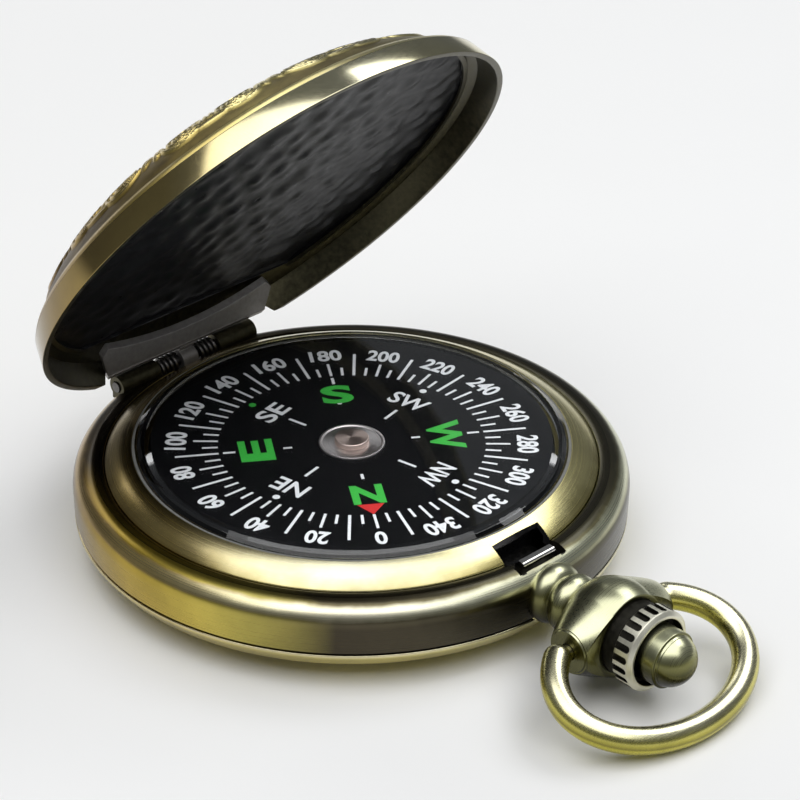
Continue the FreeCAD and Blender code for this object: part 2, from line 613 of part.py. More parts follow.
def make_crown():
    body = new_body("fluted_crown")
    turn(body, "XY_Plane", [
        ("crown_bore", "-crown_front + recess_depth"), ("recess_radius", "-crown_front + recess_depth"),
        ("recess_radius", "-crown_front"), ("crown_radius - 0.35", "-crown_front"),
        ("crown_radius", "-crown_front + 0.35"), ("crown_radius", "-crown_back"),
        ("cup_bore", "-crown_back"), ("cup_bore", "-cup_floor - 1"), ("crown_bore", "-cup_floor - 1")])
    flute = pocket(body, "XZ_Plane", "flute_length", [box_outline(
        "-flute_width / 2", "flute_width / 2", "crown_radius - flute_depth", "crown_radius + 0.5")],
        lift="crown_front - 0.45", symmetric=False)
    pattern = body.newObject("PartDesign::PolarPattern", "fluted_crown_pattern")
    pattern.Originals = [flute]
    pattern.Axis = (flute.Profile[0], ["N_Axis"])
    pattern.Angle = 360
    pattern.Occurrences = int(size("flute_count"))
    pattern.setExpression("Occurrences", "Sizes.flute_count")
    body.Tip = pattern
    body.Placement = pendant_placement()
    return body


def make_button():
    dome = cap_arc("button_dome_radius", "button_tip - button_dome_y")
    cap = new_body("button_cap")
    turn(cap, "XY_Plane", [
        ("stem_radius", "-button_back"), ("button_radius", "-button_back"),
        ("button_radius", "-button_step + 0.15", "0.15", -1), ("button_radius - 0.15", "-button_step"),
        ("button_dome_radius", "-button_step"), ("button_dome_radius", "-button_dome_y", dome, -1),
        ("0", "-button_tip"), ("0", "-button_back - 1.2"), ("stem_radius", "-button_back - 1.2")])
    stem = new_body("button_stem")
    turn(stem, "XY_Plane", [
        ("0", "-button_back - 1.2"), ("stem_radius", "-button_back - 1.2"),
        ("stem_radius", "-stem_tip - 0.2"), ("stem_radius - 0.2", "-stem_tip"), ("0", "-stem_tip")])
    for piece in (cap, stem):
        piece.Placement = pendant_placement()
    start = Vector(0, -size("cup_floor + coil_wire + neck_play"), size("pendant_z"))
    length = size("button_back - cup_floor - 2 * coil_wire - coil_slack")
    coil("button_spring", start, Vector(0, -1, 0), length, size("coil_radius"), size("coil_wire"),
         size("coil_turns"))


# ---------------------------------------------------------------- catch
def make_catch():
    body = new_body("catch_lever")
    x, y = screw_place()
    # arc spring from the crown to the screw
    swing = "lever_deg - 1.4"
    pad(body, "XY_Plane", "lever_top_z - lever_z", [[
        ("0", "-lever_outer", "lever_outer", 1),
        (f"lever_outer * sin({swing})", f"-lever_outer * cos({swing})"),
        (f"lever_inner * sin({swing})", f"-lever_inner * cos({swing})", "lever_inner", -1),
        ("0", "-lever_inner")]], lift="lever_z", symmetric=False)
    pad(body, "XY_Plane", "lever_top_z - lever_z", circles=[(x, y, "screw_head")],
        lift="lever_z", symmetric=False)
    # upright at the crown, arm through the notch, and hook
    pad(body, "XY_Plane", "hook_arm_z - lever_z", [box_outline(
        "-hook_half", "hook_half", "-lever_outer + 0.05", "-lever_inner + 0.1")],
        lift="lever_z", symmetric=False)
    pad(body, "YZ_Plane", "2 * hook_half", [[
        ("-lever_inner", "notch_floor_z + 0.1"), ("-lever_inner", "hook_arm_z"),
        ("-hook_inner", "hook_arm_z"), ("-hook_inner", "hook_top_z - hook_round", "hook_round", -1),
        ("-hook_inner - hook_round", "hook_top_z"),
        ("-hook_nose + hook_nose_round", "hook_top_z", "hook_nose_round", 1),
        ("-hook_nose", "hook_top_z - hook_nose_round"), ("-hook_nose", "hook_top_z - 1.5 * hook_nose_round"),
        ("-hook_stem", "hook_top_z - 2 * hook_nose_round"), ("-hook_stem", "notch_floor_z + 0.1")]])
    pocket(body, "XY_Plane", "4 * lever_top_z", circles=[(x, y, "screw_shank + 0.07")])
    screw = new_body("catch_screw")
    pad(screw, "XY_Plane", "lever_top_z + 0.05 - ledge_floor_z", circles=[(x, y, "screw_shank")],
        lift="ledge_floor_z", symmetric=False)
    pad(screw, "XY_Plane", "0.4", circles=[(x, y, "screw_head")], lift="lever_top_z + 0.05",
        symmetric=False)
    slot = box_outline(f"{x} - 0.12", f"{x} + 0.12", f"{y} - 1", f"{y} + 1")
    pocket(screw, "XY_Plane", "0.2", [slot], lift="lever_top_z + 0.45", symmetric=False)


# ---------------------------------------------------------------- bow
def make_bow():
    """An oval wire ring on two end pins, drooped until its far end meets the table."""
    rise = size("pendant_z - bow_wire") - 0.02
    droop = math.degrees(math.asin(rise / size("bow_centre + bow_depth")))
    corner = math.degrees(math.asin(size("bow_centre / bow_depth")))
    end_x = "bow_half * sqrt(1 - (bow_centre / bow_depth) ^ 2)"

    spine = doc.addObject("Part::Ellipse", "bow_spine")
    spine.Angle1 = 180 - corner
    spine.Angle2 = corner
    spine.setExpression("MajorRadius", bound("bow_half"))
    spine.setExpression("MinorRadius", bound("bow_depth"))
    spine.setExpression("Placement.Base.y", bound("-bow_centre"))
    doc.recompute()
    edge = spine.Shape.Edges[0]
    start = edge.valueAt(edge.FirstParameter)
    heading = edge.tangentAt(edge.FirstParameter)

    section = doc.addObject("Part::Circle", "bow_section")
    section.setExpression("Radius", bound("bow_wire"))
    section.Placement = Placement(start, Rotation(Vector(0, 0, 1), heading))
    ring = doc.addObject("Part::Sweep", "bow_ring")
    ring.Sections = [section]
    ring.Spine = (spine, ["Edge1"])
    ring.Solid = True
    ring.Frenet = False

    pieces = [ring]
    for name, side in (("left", -1), ("right", 1)):
        knob = doc.addObject("Part::Sphere", f"bow_knob_{name}")
        knob.setExpression("Radius", bound("bow_wire"))
        knob.setExpression("Placement.Base.x", bound(f"{side} * {end_x}"))
        pin = doc.addObject("Part::Cylinder", f"bow_pin_{name}")
        pin.Placement = Placement(Vector(), Rotation(Vector(0, 1, 0), 90 * side))
        pin.setExpression("Radius", bound("bow_pin_radius"))
        pin.setExpression("Height", bound(f"{end_x} - bow_pin_end"))
        pin.setExpression("Placement.Base.x", bound(f"{side} * bow_pin_end"))
        pieces.extend([knob, pin])
    bow = doc.addObject("Part::MultiFuse", "bow")
    bow.Shapes = pieces
    bow.Label = "bow"
    pivot = Vector(0, -size("ball_y"), size("pendant_z"))
    bow.Placement = Placement(pivot, Rotation(Vector(1, 0, 0), droop))
    return bow


make_case()
make_back_cover()
make_bezel()
make_crystal()
make_gasket()
make_capsule()
make_pivot()
make_card()
make_case_leaf()
make_hinge_pin()
make_hinge_springs()
make_lid()
make_neck()
make_crown()
make_button()
make_catch()
make_bow()
doc.recompute()

SUB_PARTS = [
    "case_body", "back_cover", "bezel", "crystal", "crystal_gasket", "capsule_cup", "pivot_post",
    "pivot_pin", "compass_card", "card_hub", "hub_cap", "pivot_jewel", "card_magnet_left",
    "card_magnet_right", "case_hinge_leaf", "hinge_pin", "hinge_spring_left", "hinge_spring_right",
    "lid_shell", "lid_hinge_leaf", "lid_lining", "lid_lining_ring", "pendant_neck", "fluted_crown",
    "button_cap", "button_stem", "button_spring", "catch_lever", "catch_screw", "bow",
]

for item in doc.Objects:
    if "Invalid" in item.State or "Error" in item.State:
        raise RuntimeError(f"{item.Label} failed: {item.State}")

os.makedirs("parts", exist_ok=True)
for label in SUB_PARTS:
    shape = doc.getObject(label).Shape
    if shape.isNull() or not shape.isValid() or not shape.Solids:
        raise RuntimeError(f"{label} has no valid solid")
    shape.exportStep(os.path.join("parts", f"{label}.step"))
    box = shape.BoundBox
    print(f"{label:20s} solids {len(shape.Solids)} volume {shape.Volume:9.3f}  x {box.XMin:7.2f} {box.XMax:7.2f}"
          f"  y {box.YMin:7.2f} {box.YMax:7.2f}  z {box.ZMin:7.2f} {box.ZMax:7.2f}")
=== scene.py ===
"""Looks of the pocket compass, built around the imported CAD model.

Lengths in this script are in millimetres and are turned into metres where a mesh is made.
"""

import json
import random
from math import asin, atan2, cos, hypot, pi, radians, sin, sqrt

import bmesh
import bpy
import numpy as np
from mathutils import Matrix, Vector


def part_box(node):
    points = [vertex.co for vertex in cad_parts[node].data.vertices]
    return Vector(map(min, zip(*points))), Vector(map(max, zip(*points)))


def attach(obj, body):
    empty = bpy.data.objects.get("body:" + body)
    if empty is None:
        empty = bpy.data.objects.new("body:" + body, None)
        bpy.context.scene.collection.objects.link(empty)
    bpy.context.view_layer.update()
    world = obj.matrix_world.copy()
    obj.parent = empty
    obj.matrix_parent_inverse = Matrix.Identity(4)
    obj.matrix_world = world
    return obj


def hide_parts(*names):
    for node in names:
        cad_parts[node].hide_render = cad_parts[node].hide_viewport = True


MM = 0.001
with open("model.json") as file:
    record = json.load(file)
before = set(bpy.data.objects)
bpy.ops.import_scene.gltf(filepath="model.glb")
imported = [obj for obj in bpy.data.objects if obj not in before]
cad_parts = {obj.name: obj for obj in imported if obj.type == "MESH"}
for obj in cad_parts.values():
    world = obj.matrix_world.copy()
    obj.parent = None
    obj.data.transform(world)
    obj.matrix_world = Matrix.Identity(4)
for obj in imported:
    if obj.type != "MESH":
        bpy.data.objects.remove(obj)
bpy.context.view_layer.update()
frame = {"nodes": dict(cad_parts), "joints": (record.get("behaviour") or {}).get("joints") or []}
joints = {j["name"]: j for j in frame["joints"]}


def box_mm(node):
    """Lowest and highest corner of a CAD node, in millimetres."""
    low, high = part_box(node)
    return low / MM, high / MM


# -------- driving sizes, from the frame
CASE_RADIUS = box_mm("case_body")[1].x
CRYSTAL_TOP = box_mm("crystal")[1].z
CARD_TOP = box_mm("compass_card")[1].z
LINING_RADIUS = box_mm("lid_lining")[1].x
CROWN_RADIUS = box_mm("fluted_crown")[1].x
NECK_HALF_WIDTH = box_mm("pendant_neck")[1].x
BUTTON_TIP = -box_mm("button_cap")[0].y
PENDANT_Z = joints["bow_swivel"]["pos_m"][2] / MM
BALL_Y = joints["bow_swivel"]["pos_m"][1] / MM
HINGE = Vector(joints["lid_hinge"]["pos_m"]) / MM
# -------- driving sizes, read off the object
HEADING = 146.2          # degrees the card is turned from the case's north
LID_OPEN = 54.7          # degrees the lid stands open at rest
BOW_REACH = 11.4         # from the swivel to the far side of the wire
BOW_WIRE = 1.18          # radius of the bow's wire
BOW_GAP = 0.02           # clearance between the drooped bow and the table
BOW_DROOP = asin((PENDANT_Z - BOW_WIRE - BOW_GAP) / BOW_REACH)
SEAT_RADIUS = 22.2       # seat of the bezel in the case
BEZEL_SEAT = 9.12        # height of the ledge that carries the crystal
LENS_SHOULDER = 9.93     # height where the crystal's bevel meets its dome
NOTCH_HALF = 2.8         # half width of the catch notch
HINGE_CUT_HALF = 8.45    # half width of the hinge recess in the case
STEM_BORE = 1.12         # radius of the case's bore for the pendant and the stem
PENDANT_FRONT = 34.0     # distance of the pendant's front rim from the case's axis
CROWN_BORE = 3.35        # radius of the pendant's bore and of the crown's inner part
RING_STEPS = 288         # steps round a lathe
TINY = 1e-6
random.seed(7)


# -------- outlines and meshes
def arc_points(start, end, radius, side, steps):
    """Points along an arc, without its end; side +1 puts the centre to the left of the way there."""
    start, end = Vector(start), Vector(end)
    way = end - start
    left = Vector((-way.y, way.x)).normalized()
    height = sqrt(max(radius ** 2 - (way.length / 2) ** 2, 0.0))
    centre = (start + end) / 2 + left * height * side
    first = atan2(start.y - centre.y, start.x - centre.x)
    sweep = atan2(end.y - centre.y, end.x - centre.x) - first
    if side > 0 and sweep < 0:
        sweep += 2 * pi
    if side < 0 and sweep > 0:
        sweep -= 2 * pi
    angles = [first + sweep * i / steps for i in range(steps)]
    return [centre + Vector((cos(a), sin(a))) * radius for a in angles]


def trace(corners, fillet=0.08, arc_steps=20):
    """Closed outline as points.

    A corner is (x, y), or (x, y, radius, side) where an arc starts.  Sharp corners are rounded.
    """
    shortest_share, fillet_steps = 0.45, 4
    points = []
    for i, corner in enumerate(corners):
        if len(corner) == 2:
            points.append(Vector(corner))
        else:
            following = corners[(i + 1) % len(corners)][:2]
            points.extend(arc_points(corner[:2], following, corner[2], corner[3], arc_steps))
    rounded = []
    for i, here in enumerate(points):
        before = points[i - 1] - here
        after = points[(i + 1) % len(points)] - here
        turned = min(before.length, after.length) > TINY and before.angle(after) < radians(160)
        if not turned or abs(here.x) < TINY:
            rounded.append(here)
            continue
        a = here + before.normalized() * min(fillet, before.length * shortest_share)
        b = here + after.normalized() * min(fillet, after.length * shortest_share)
        for k in range(fillet_steps + 1):
            t = k / fillet_steps
            rounded.append(a * (1 - t) ** 2 + here * 2 * t * (1 - t) + b * t ** 2)
    return rounded


def add(name, data):
    """A new object in the scene for a mesh, a curve, a light or a camera."""
    obj = bpy.data.objects.new(name, data)
    bpy.context.scene.collection.objects.link(obj)
    return obj


def make_object(name, vertices, faces):
    """A mesh object from millimetre vertices, with its faces turned outward."""
    mesh = bpy.data.meshes.new(name)
    mesh.from_pydata([tuple(c * MM for c in v) for v in vertices], [], faces)
    obj = add(name, mesh)
    shell = bmesh.new()
    shell.from_mesh(mesh)
    bmesh.ops.recalc_face_normals(shell, faces=shell.faces)
    shell.to_mesh(mesh)
    shell.free()
    return obj


def smooth(obj, angle=32):
    """Smooth shading, with edges sharper than the angle kept."""
    mesh = obj.data
    mesh.polygons.foreach_set("use_smooth", [True] * len(mesh.polygons))
    mesh.set_sharp_from_angle(angle=radians(angle))
    return obj


def lathe(name, outline, turn=None, steps=RING_STEPS):
    """Turn a closed outline of (radius, height) about Z; turn is a matrix, in mm, that places the result."""
    vertices, faces, rings = [], [], []
    for p in outline:
        if abs(p[0]) < TINY:
            rings.append([len(vertices)])
            vertices.append((0.0, 0.0, p[1]))
            continue
        rings.append(list(range(len(vertices), len(vertices) + steps)))
        for k in range(steps):
            a = 2 * pi * k / steps
            vertices.append((p[0] * cos(a), p[0] * sin(a), p[1]))
    for i, ring in enumerate(rings):
        other = rings[(i + 1) % len(rings)]
        if len(ring) == 1 and len(other) == 1:
            continue
        for k in range(steps):
            n = (k + 1) % steps
            quad = [ring[k % len(ring)], ring[n % len(ring)], other[n % len(other)], other[k % len(other)]]
            faces.append(tuple(dict.fromkeys(quad)))
    if turn is not None:
        vertices = [turn @ Vector(v) for v in vertices]
    return make_object(name, vertices, faces)


def loop_faces(a, b, count):
    """Faces between two closed loops of vertices that start at a and at b."""
    return [(a + k, a + (k + 1) % count, b + (k + 1) % count, b + k) for k in range(count)]


def block(low, high):
    """A plain box used only as a cutter."""
    corners = [(x, y, z) for x in (low[0], high[0]) for y in (low[1], high[1]) for z in (low[2], high[2])]
    faces = [(0, 1, 3, 2), (4, 6, 7, 5), (0, 4, 5, 1), (2, 3, 7, 6), (0, 2, 6, 4), (1, 5, 7, 3)]
    return make_object("cutter", corners, faces)


def evaluated_mesh(obj):
    """A mesh of the object with its modifiers, or of its text."""
    graph = bpy.context.evaluated_depsgraph_get()
    return bpy.data.meshes.new_from_object(obj.evaluated_get(graph))


def combine(obj, other, operation="DIFFERENCE"):
    """Boolean of two solids; the second one is used up."""
    step = obj.modifiers.new("combine", "BOOLEAN")
    step.object = other
    step.operation = operation
    step.solver = "EXACT"
    mesh = evaluated_mesh(obj)
    obj.modifiers.clear()
    obj.data = mesh
    bpy.data.objects.remove(other)
    return obj


def join(name, objects):
    """One object from several, all at the origin."""
    merged = bmesh.new()
    mesh = bpy.data.meshes.new(name)
    for material in objects[0].data.materials:
        mesh.materials.append(material)
    for obj in objects:
        merged.from_mesh(obj.data)
        bpy.data.objects.remove(obj)
    merged.to_mesh(mesh)
    merged.free()
    return add(name, mesh)


def softened(node, name, width):
    """A copy of a CAD node's mesh with rounded edges, which stands for the node."""
    corner = 32
    shell = bmesh.new()
    shell.from_mesh(frame["nodes"][node].data)
    bmesh.ops.remove_doubles(shell, verts=shell.verts, dist=1e-7)
    bmesh.ops.dissolve_limit(shell, angle_limit=radians(1), verts=shell.verts, edges=shell.edges)
    mesh = bpy.data.meshes.new(name)
    shell.to_mesh(mesh)
    shell.free()
    obj = add(name, mesh)
    bevel = obj.modifiers.new("rounding", "BEVEL")
    bevel.width = width * MM
    bevel.segments = 2
    bevel.limit_method = "ANGLE"
    bevel.angle_limit = radians(corner)
    smooth(obj)
    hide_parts(node)
    return obj


# -------- materials
def put(node, **values):
    """Set constants on a node's inputs, by socket name with _ for a space."""
    for key, value in values.items():
        node.inputs[key.replace("_", " ")].default_value = value


def new_material(name, metallic=0.0, roughness=0.4, color=(0.5, 0.5, 0.5), **inputs):
    """A material, its node tree and its shader."""
    material = bpy.data.materials.new(name)
    material.use_nodes = True
    tree = material.node_tree
    shader = tree.nodes["Principled BSDF"]
    put(shader, Metallic=metallic, Roughness=roughness, Base_Color=(*color, 1), **inputs)
    return material, tree, shader


def coordinates(tree, centre=(0, 0, 0)):
    """Object coordinates in millimetres, from a centre."""
    place = tree.nodes.new("ShaderNodeTexCoord")
    scale = tree.nodes.new("ShaderNodeMapping")
    put(scale, Location=[-c for c in centre], Scale=(1 / MM,) * 3)
    tree.links.new(place.outputs["Object"], scale.inputs["Vector"])
    return scale.outputs["Vector"]


def arithmetic(tree, operation, *values):
    """A math node over one or two sockets."""
    node = tree.nodes.new("ShaderNodeMath")
    node.operation = operation
    for socket, value in zip(node.inputs, values):
        tree.links.new(value, socket)
    return node.outputs[0]


def map_range(tree, value, source, target=(0.0, 1.0)):
    """A value carried from one range to another."""
    node = tree.nodes.new("ShaderNodeMapRange")
    put(node, From_Min=source[0], From_Max=source[1], To_Min=target[0], To_Max=target[1])
    tree.links.new(value, node.inputs["Value"])
    return node.outputs["Result"]


def turned_coordinates(tree, axis, along, centre=(0, 0, 0)):
    """Coordinates that are constant along the circles about an axis: (radius, 0, height) in millimetres."""
    split = tree.nodes.new("ShaderNodeSeparateXYZ")
    tree.links.new(coordinates(tree, centre), split.inputs["Vector"])
    across = {"Z": ("X", "Y"), "Y": ("X", "Z"), "X": ("Y", "Z")}[axis]
    sides = [split.outputs[name] for name in across]
    squares = [arithmetic(tree, "MULTIPLY", side, side) for side in sides]
    radius = arithmetic(tree, "SQRT", arithmetic(tree, "ADD", *squares))
    merge = tree.nodes.new("ShaderNodeCombineXYZ")
    tree.links.new(radius, merge.inputs["X"])
    tree.links.new(split.outputs[axis], merge.inputs["Z"])
    stretch = tree.nodes.new("ShaderNodeVectorMath")
    stretch.operation = "SCALE"
    put(stretch, Scale=along)
    tree.links.new(merge.outputs["Vector"], stretch.inputs[0])
    return stretch.outputs[0]


def noise(tree, scale, detail, roughness=0.55, vector=None):
    """Fractal noise, 0 to 1; scale is in features per millimetre of the vector, or of the object."""
    texture = tree.nodes.new("ShaderNodeTexNoise")
    put(texture, Scale=scale, Detail=detail, Roughness=roughness)
    tree.links.new(coordinates(tree) if vector is None else vector, texture.inputs["Vector"])
    return texture.outputs["Fac"]


def ramp(tree, value, stops):
    """A colour ramp over stops of (place, colour)."""
    blend = tree.nodes.new("ShaderNodeValToRGB")
    elements = blend.color_ramp.elements
    while len(elements) < len(stops):
        elements.new(0.5)
    for element, (place, color) in zip(elements, stops):
        element.position = place
        element.color = (*color, 1) if isinstance(color, tuple) else (color, color, color, 1)
    tree.links.new(value, blend.inputs["Fac"])
    return blend.outputs["Color"]


def mix(tree, amount, a, b, kind="MIX"):
    """Mix two colours; an input that isn't a socket is a constant."""
    blend = tree.nodes.new("ShaderNodeMix")
    blend.data_type = "RGBA"
    blend.blend_type = kind
    for socket, value in ((blend.inputs[0], amount), (blend.inputs[6], a), (blend.inputs[7], b)):
        if hasattr(value, "is_output"):
            tree.links.new(value, socket)
        else:
            socket.default_value = (*value, 1) if isinstance(value, tuple) else value
    return blend.outputs[2]


def bump(tree, shader, height, strength, distance):
    """Fine surface grain; distance is in millimetres."""
    relief = tree.nodes.new("ShaderNodeBump")
    put(relief, Strength=strength, Distance=distance * MM)
    tree.links.new(height, relief.inputs["Height"])
    tree.links.new(relief.outputs["Normal"], shader.inputs["Normal"])


def lengthwise(tree, direction):
    """Place along a direction, 0 to 1 across the case."""
    dot = tree.nodes.new("ShaderNodeVectorMath")
    dot.operation = "DOT_PRODUCT"
    dot.inputs[1].default_value = direction
    tree.links.new(coordinates(tree), dot.inputs[0])
    return map_range(tree, dot.outputs["Value"], (-CASE_RADIUS, CASE_RADIUS))


def facing(tree):
    """How far a surface faces up, 0 to 1, with an uneven edge."""
    uneven = 0.10
    place = tree.nodes.new("ShaderNodeTexCoord")
    split = tree.nodes.new("ShaderNodeSeparateXYZ")
    tree.links.new(place.outputs["Normal"], split.inputs["Vector"])
    upward = map_range(tree, split.outputs["Z"], (-1.0, 1.0))
    clouds = noise(tree, 0.25, 4)
    wander = map_range(tree, clouds, (0.0, 1.0), (-uneven / 2, uneven / 2))
    return arithmetic(tree, "ADD", upward, wander)


ACROSS = (0.7188, -0.6953, 0.0)     # the way the painted side light drifts, and the camera's right-hand side
# Painted side light: tints that make the metal warmer and darker towards the camera's left and paler and
# cooler towards its right.
SIDE_LIGHT_TINT = [
    (0.0, (0.42, 0.28, 0.11)), (0.16, (0.84, 0.68, 0.34)), (0.34, (1.00, 0.95, 0.72)),
    (0.5, (1.00, 0.97, 0.90)), (0.78, (0.96, 1.00, 0.89)), (1.0, (0.92, 0.97, 0.84))]
WARM_SIDE_LIGHT_TINT = [
    (0.0, (0.34, 0.24, 0.09)), (0.20, (0.72, 0.58, 0.28)), (0.36, (1.00, 0.97, 0.78)),
    (0.52, (1.00, 1.00, 0.92)), (0.75, (1.00, 0.95, 0.62)), (1.0, (0.95, 0.90, 0.52))]
FAINT_SIDE_LIGHT_TINT = [(0.0, (0.90, 0.80, 0.60)), (1.0, (1.00, 1.00, 0.96))]
# CREAM is the tone of painted highlights on up-facing plating; YELLOW is the tone of painted floor
# reflections on downward faces and on the case's left flank.
CREAM = (0.83, 0.79, 0.61)
YELLOW = (0.66, 0.59, 0.17)


def plated(name, stops, axis="Z", centre=(0, 0, 0), roughness=0.27, grain=1.0, floor_reflection_tone=None, side_light_tint=SIDE_LIGHT_TINT):
    """Antique plating over turned metal: painted highlights, shade and reflections by how a face lies, a
    painted side-light drift, turning lines, scuffs.
    """
    material, tree, shader = new_material(
        name, metallic=1.0, roughness=roughness, Coat_Weight=0.25, Coat_Roughness=0.15)
    # Painted light by how a face lies: the stops give up-facing faces a painted highlight and sideways and
    # downward faces painted shade and painted reflection.
    tone = ramp(tree, facing(tree), stops)
    # Painted reflection: a brighter patch towards -X, standing in for the pale floor mirrored in the case's
    # left flank.
    if floor_reflection_tone is not None:
        floor_reflection_side = lengthwise(tree, (-1.0, 0.0, 0.0))
        patch = ramp(tree, floor_reflection_side, [(0.86, 0.0), (0.98, 1.0)])
        tone = mix(tree, patch, tone, floor_reflection_tone, "LIGHTEN")
    # Painted side light: warmer and darker towards the camera's left, paler and cooler towards its right.
    drift = ramp(tree, lengthwise(tree, ACROSS), side_light_tint)
    tone = mix(tree, 1.0, tone, drift, "MULTIPLY")
    patches = noise(tree, 0.16, 5)
    cloud = ramp(tree, patches, [(0.35, 0.78), (0.62, 1.0)])
    tone = mix(tree, 1.0, tone, cloud, "MULTIPLY")
    lines = noise(tree, 1.0, 3, 0.7, turned_coordinates(tree, axis, 9.0, centre))
    shade = ramp(tree, lines, [(0.3, 0.88), (0.7, 1.0)])
    tree.links.new(mix(tree, 1.0, tone, shade, "MULTIPLY"), shader.inputs["Base Color"])
    rough = ramp(tree, lines, [(0.25, roughness * 0.75), (0.75, roughness * 1.25)])
    tree.links.new(rough, shader.inputs["Roughness"])
    fine = noise(tree, 5.0, 2)
    both = mix(tree, 0.3, lines, fine)
    bump(tree, shader, both, 0.18 * grain, 0.010)
    return material


def turned_steel(name, color):
    """Steel faced on a lathe: fine rings whose gloss is stretched across them."""
    material, tree, shader = new_material(
        name, metallic=1.0, roughness=0.36, color=color, Anisotropic=0.85)
    around = tree.nodes.new("ShaderNodeTangent")
    around.direction_type = "RADIAL"
    around.axis = "Z"
    tree.links.new(around.outputs["Tangent"], shader.inputs["Tangent"])
    lines = noise(tree, 1.0, 3, 0.7, turned_coordinates(tree, "Z", 14.0))
    low = tuple(c * 0.8 for c in color)
    tree.links.new(ramp(tree, lines, [(0.35, low), (0.65, color)]), shader.inputs["Base Color"])
    bump(tree, shader, lines, 0.2, 0.01)
    return material


def embossed(name):
    """Plating that is dark in the hollows of the relief and bright on its tops."""
    material, tree, shader = new_material(name, metallic=1.0, roughness=0.26)
    height = tree.nodes.new("ShaderNodeAttribute")
    height.attribute_name = "relief"
    spots = noise(tree, 0.35, 5)
    worn = mix(tree, 0.22, height.outputs["Fac"], spots)
    tone = ramp(tree, worn, [
        (0.12, (0.130, 0.105, 0.040)), (0.26, (0.420, 0.370, 0.160)),
        (0.50, (0.680, 0.620, 0.330)), (0.85, (0.880, 0.830, 0.580))])
    # Painted side light: warmer and darker towards the camera's left, paler and cooler towards its right.
    drift = ramp(tree, lengthwise(tree, ACROSS), SIDE_LIGHT_TINT)
    tree.links.new(mix(tree, 1.0, tone, drift, "MULTIPLY"), shader.inputs["Base Color"])
    tree.links.new(ramp(tree, worn, [(0.2, 0.42), (0.7, 0.22)]), shader.inputs["Roughness"])
    bump(tree, shader, noise(tree, 3.0, 3), 0.15, 0.02)
    return material


def printed(name, color):
    """Ink on the card, slightly uneven."""
    material, tree, shader = new_material(name, roughness=0.55)
    grain = noise(tree, 6.0, 3)
    low = tuple(c * 0.9 for c in color)
    tree.links.new(ramp(tree, grain, [(0.35, low), (0.65, color)]), shader.inputs["Base Color"])
    bump(tree, shader, grain, 0.1, 0.01)
    return material


def dull(name, dark, pale, roughness, metallic=0.0, scale=2.0, strength=0.2, **inputs):
    """A plain surface with fine grain in colour, gloss and height."""
    material, tree, shader = new_material(name, metallic=metallic, roughness=roughness, **inputs)
    grain = noise(tree, scale, 5)
    tree.links.new(ramp(tree, grain, [(0.3, dark), (0.7, pale)]), shader.inputs["Base Color"])
    tree.links.new(ramp(tree, grain, [(0.3, roughness * 0.8), (0.7, roughness * 1.2)]),
              shader.inputs["Roughness"])
    bump(tree, shader, grain, strength, 0.02)
    return material


def crystal_glass():
    """Clear glass that lets light through to the dial without caustics."""
    material, tree, shader = new_material(
        "crystal_glass", roughness=0.0, color=(0.98, 0.99, 1.0), Transmission_Weight=1.0, IOR=1.5)
    output = tree.nodes["Material Output"]
    path = tree.nodes.new("ShaderNodeLightPath")
    through = tree.nodes.new("ShaderNodeBsdfTransparent")
    put(through, Color=(0.92, 0.94, 0.96, 1))
    choice = tree.nodes.new("ShaderNodeMixShader")
    tree.links.new(path.outputs["Is Shadow Ray"], choice.inputs["Fac"])
    tree.links.new(shader.outputs["BSDF"], choice.inputs[1])
    tree.links.new(through.outputs["BSDF"], choice.inputs[2])
    tree.links.new(choice.outputs["Shader"], output.inputs["Surface"])
    return material


PENDANT_CENTRE = (0, 0, PENDANT_Z)
# Plated metals paint light by how a face lies. CASE_METAL: a dark flank that stands in for dark reflections,
# a cream painted highlight band on the shoulder, painted shade in the groove by the bezel joint, and a YELLOW
# painted floor reflection on the left flank.
CASE_METAL = plated("case_metal", [
    (0.52, (0.060, 0.050, 0.032)), (0.66, (0.11, 0.095, 0.060)), (0.73, (0.62, 0.58, 0.43)),
    (0.79, (0.92, 0.89, 0.74)), (0.89, (0.88, 0.85, 0.70)), (0.945, (0.15, 0.13, 0.075)),
    (0.975, (0.065, 0.056, 0.036))], roughness=0.3, floor_reflection_tone=YELLOW)
# BRIGHT_METAL: a painted floor reflection in YELLOW on downward faces and a painted highlight in CREAM on
# up-facing faces.
BRIGHT_METAL = plated("bright_metal", [(0.2, YELLOW), (0.7, CREAM)], roughness=0.22, side_light_tint=FAINT_SIDE_LIGHT_TINT)
# BEZEL_METAL: a painted highlight in CREAM on the most up-facing faces, with a darker band just below it.
BEZEL_METAL = plated("bezel_metal", [
    (0.50, (0.70, 0.66, 0.48)), (0.80, (0.64, 0.59, 0.38)), (0.86, (0.50, 0.44, 0.22)), (0.93, CREAM)],
    roughness=0.25, grain=1.6, side_light_tint=WARM_SIDE_LIGHT_TINT)
# LID_BAND_METAL: a painted highlight in CREAM on up-facing faces.
LID_BAND_METAL = plated("lid_band_metal", [
    (0.2, (0.72, 0.67, 0.38)), (0.7, CREAM)], roughness=0.14, grain=0.4, side_light_tint=WARM_SIDE_LIGHT_TINT)
# PENDANT_METAL: painted shade, nearly black, on downward faces, and a painted highlight on up-facing faces.
PENDANT_METAL = plated("pendant_metal", [
    (0.25, (0.028, 0.025, 0.016)), (0.50, (0.100, 0.092, 0.036)), (0.68, (0.28, 0.26, 0.11)),
    (0.86, (0.74, 0.71, 0.53))], "Y", PENDANT_CENTRE, 0.3)
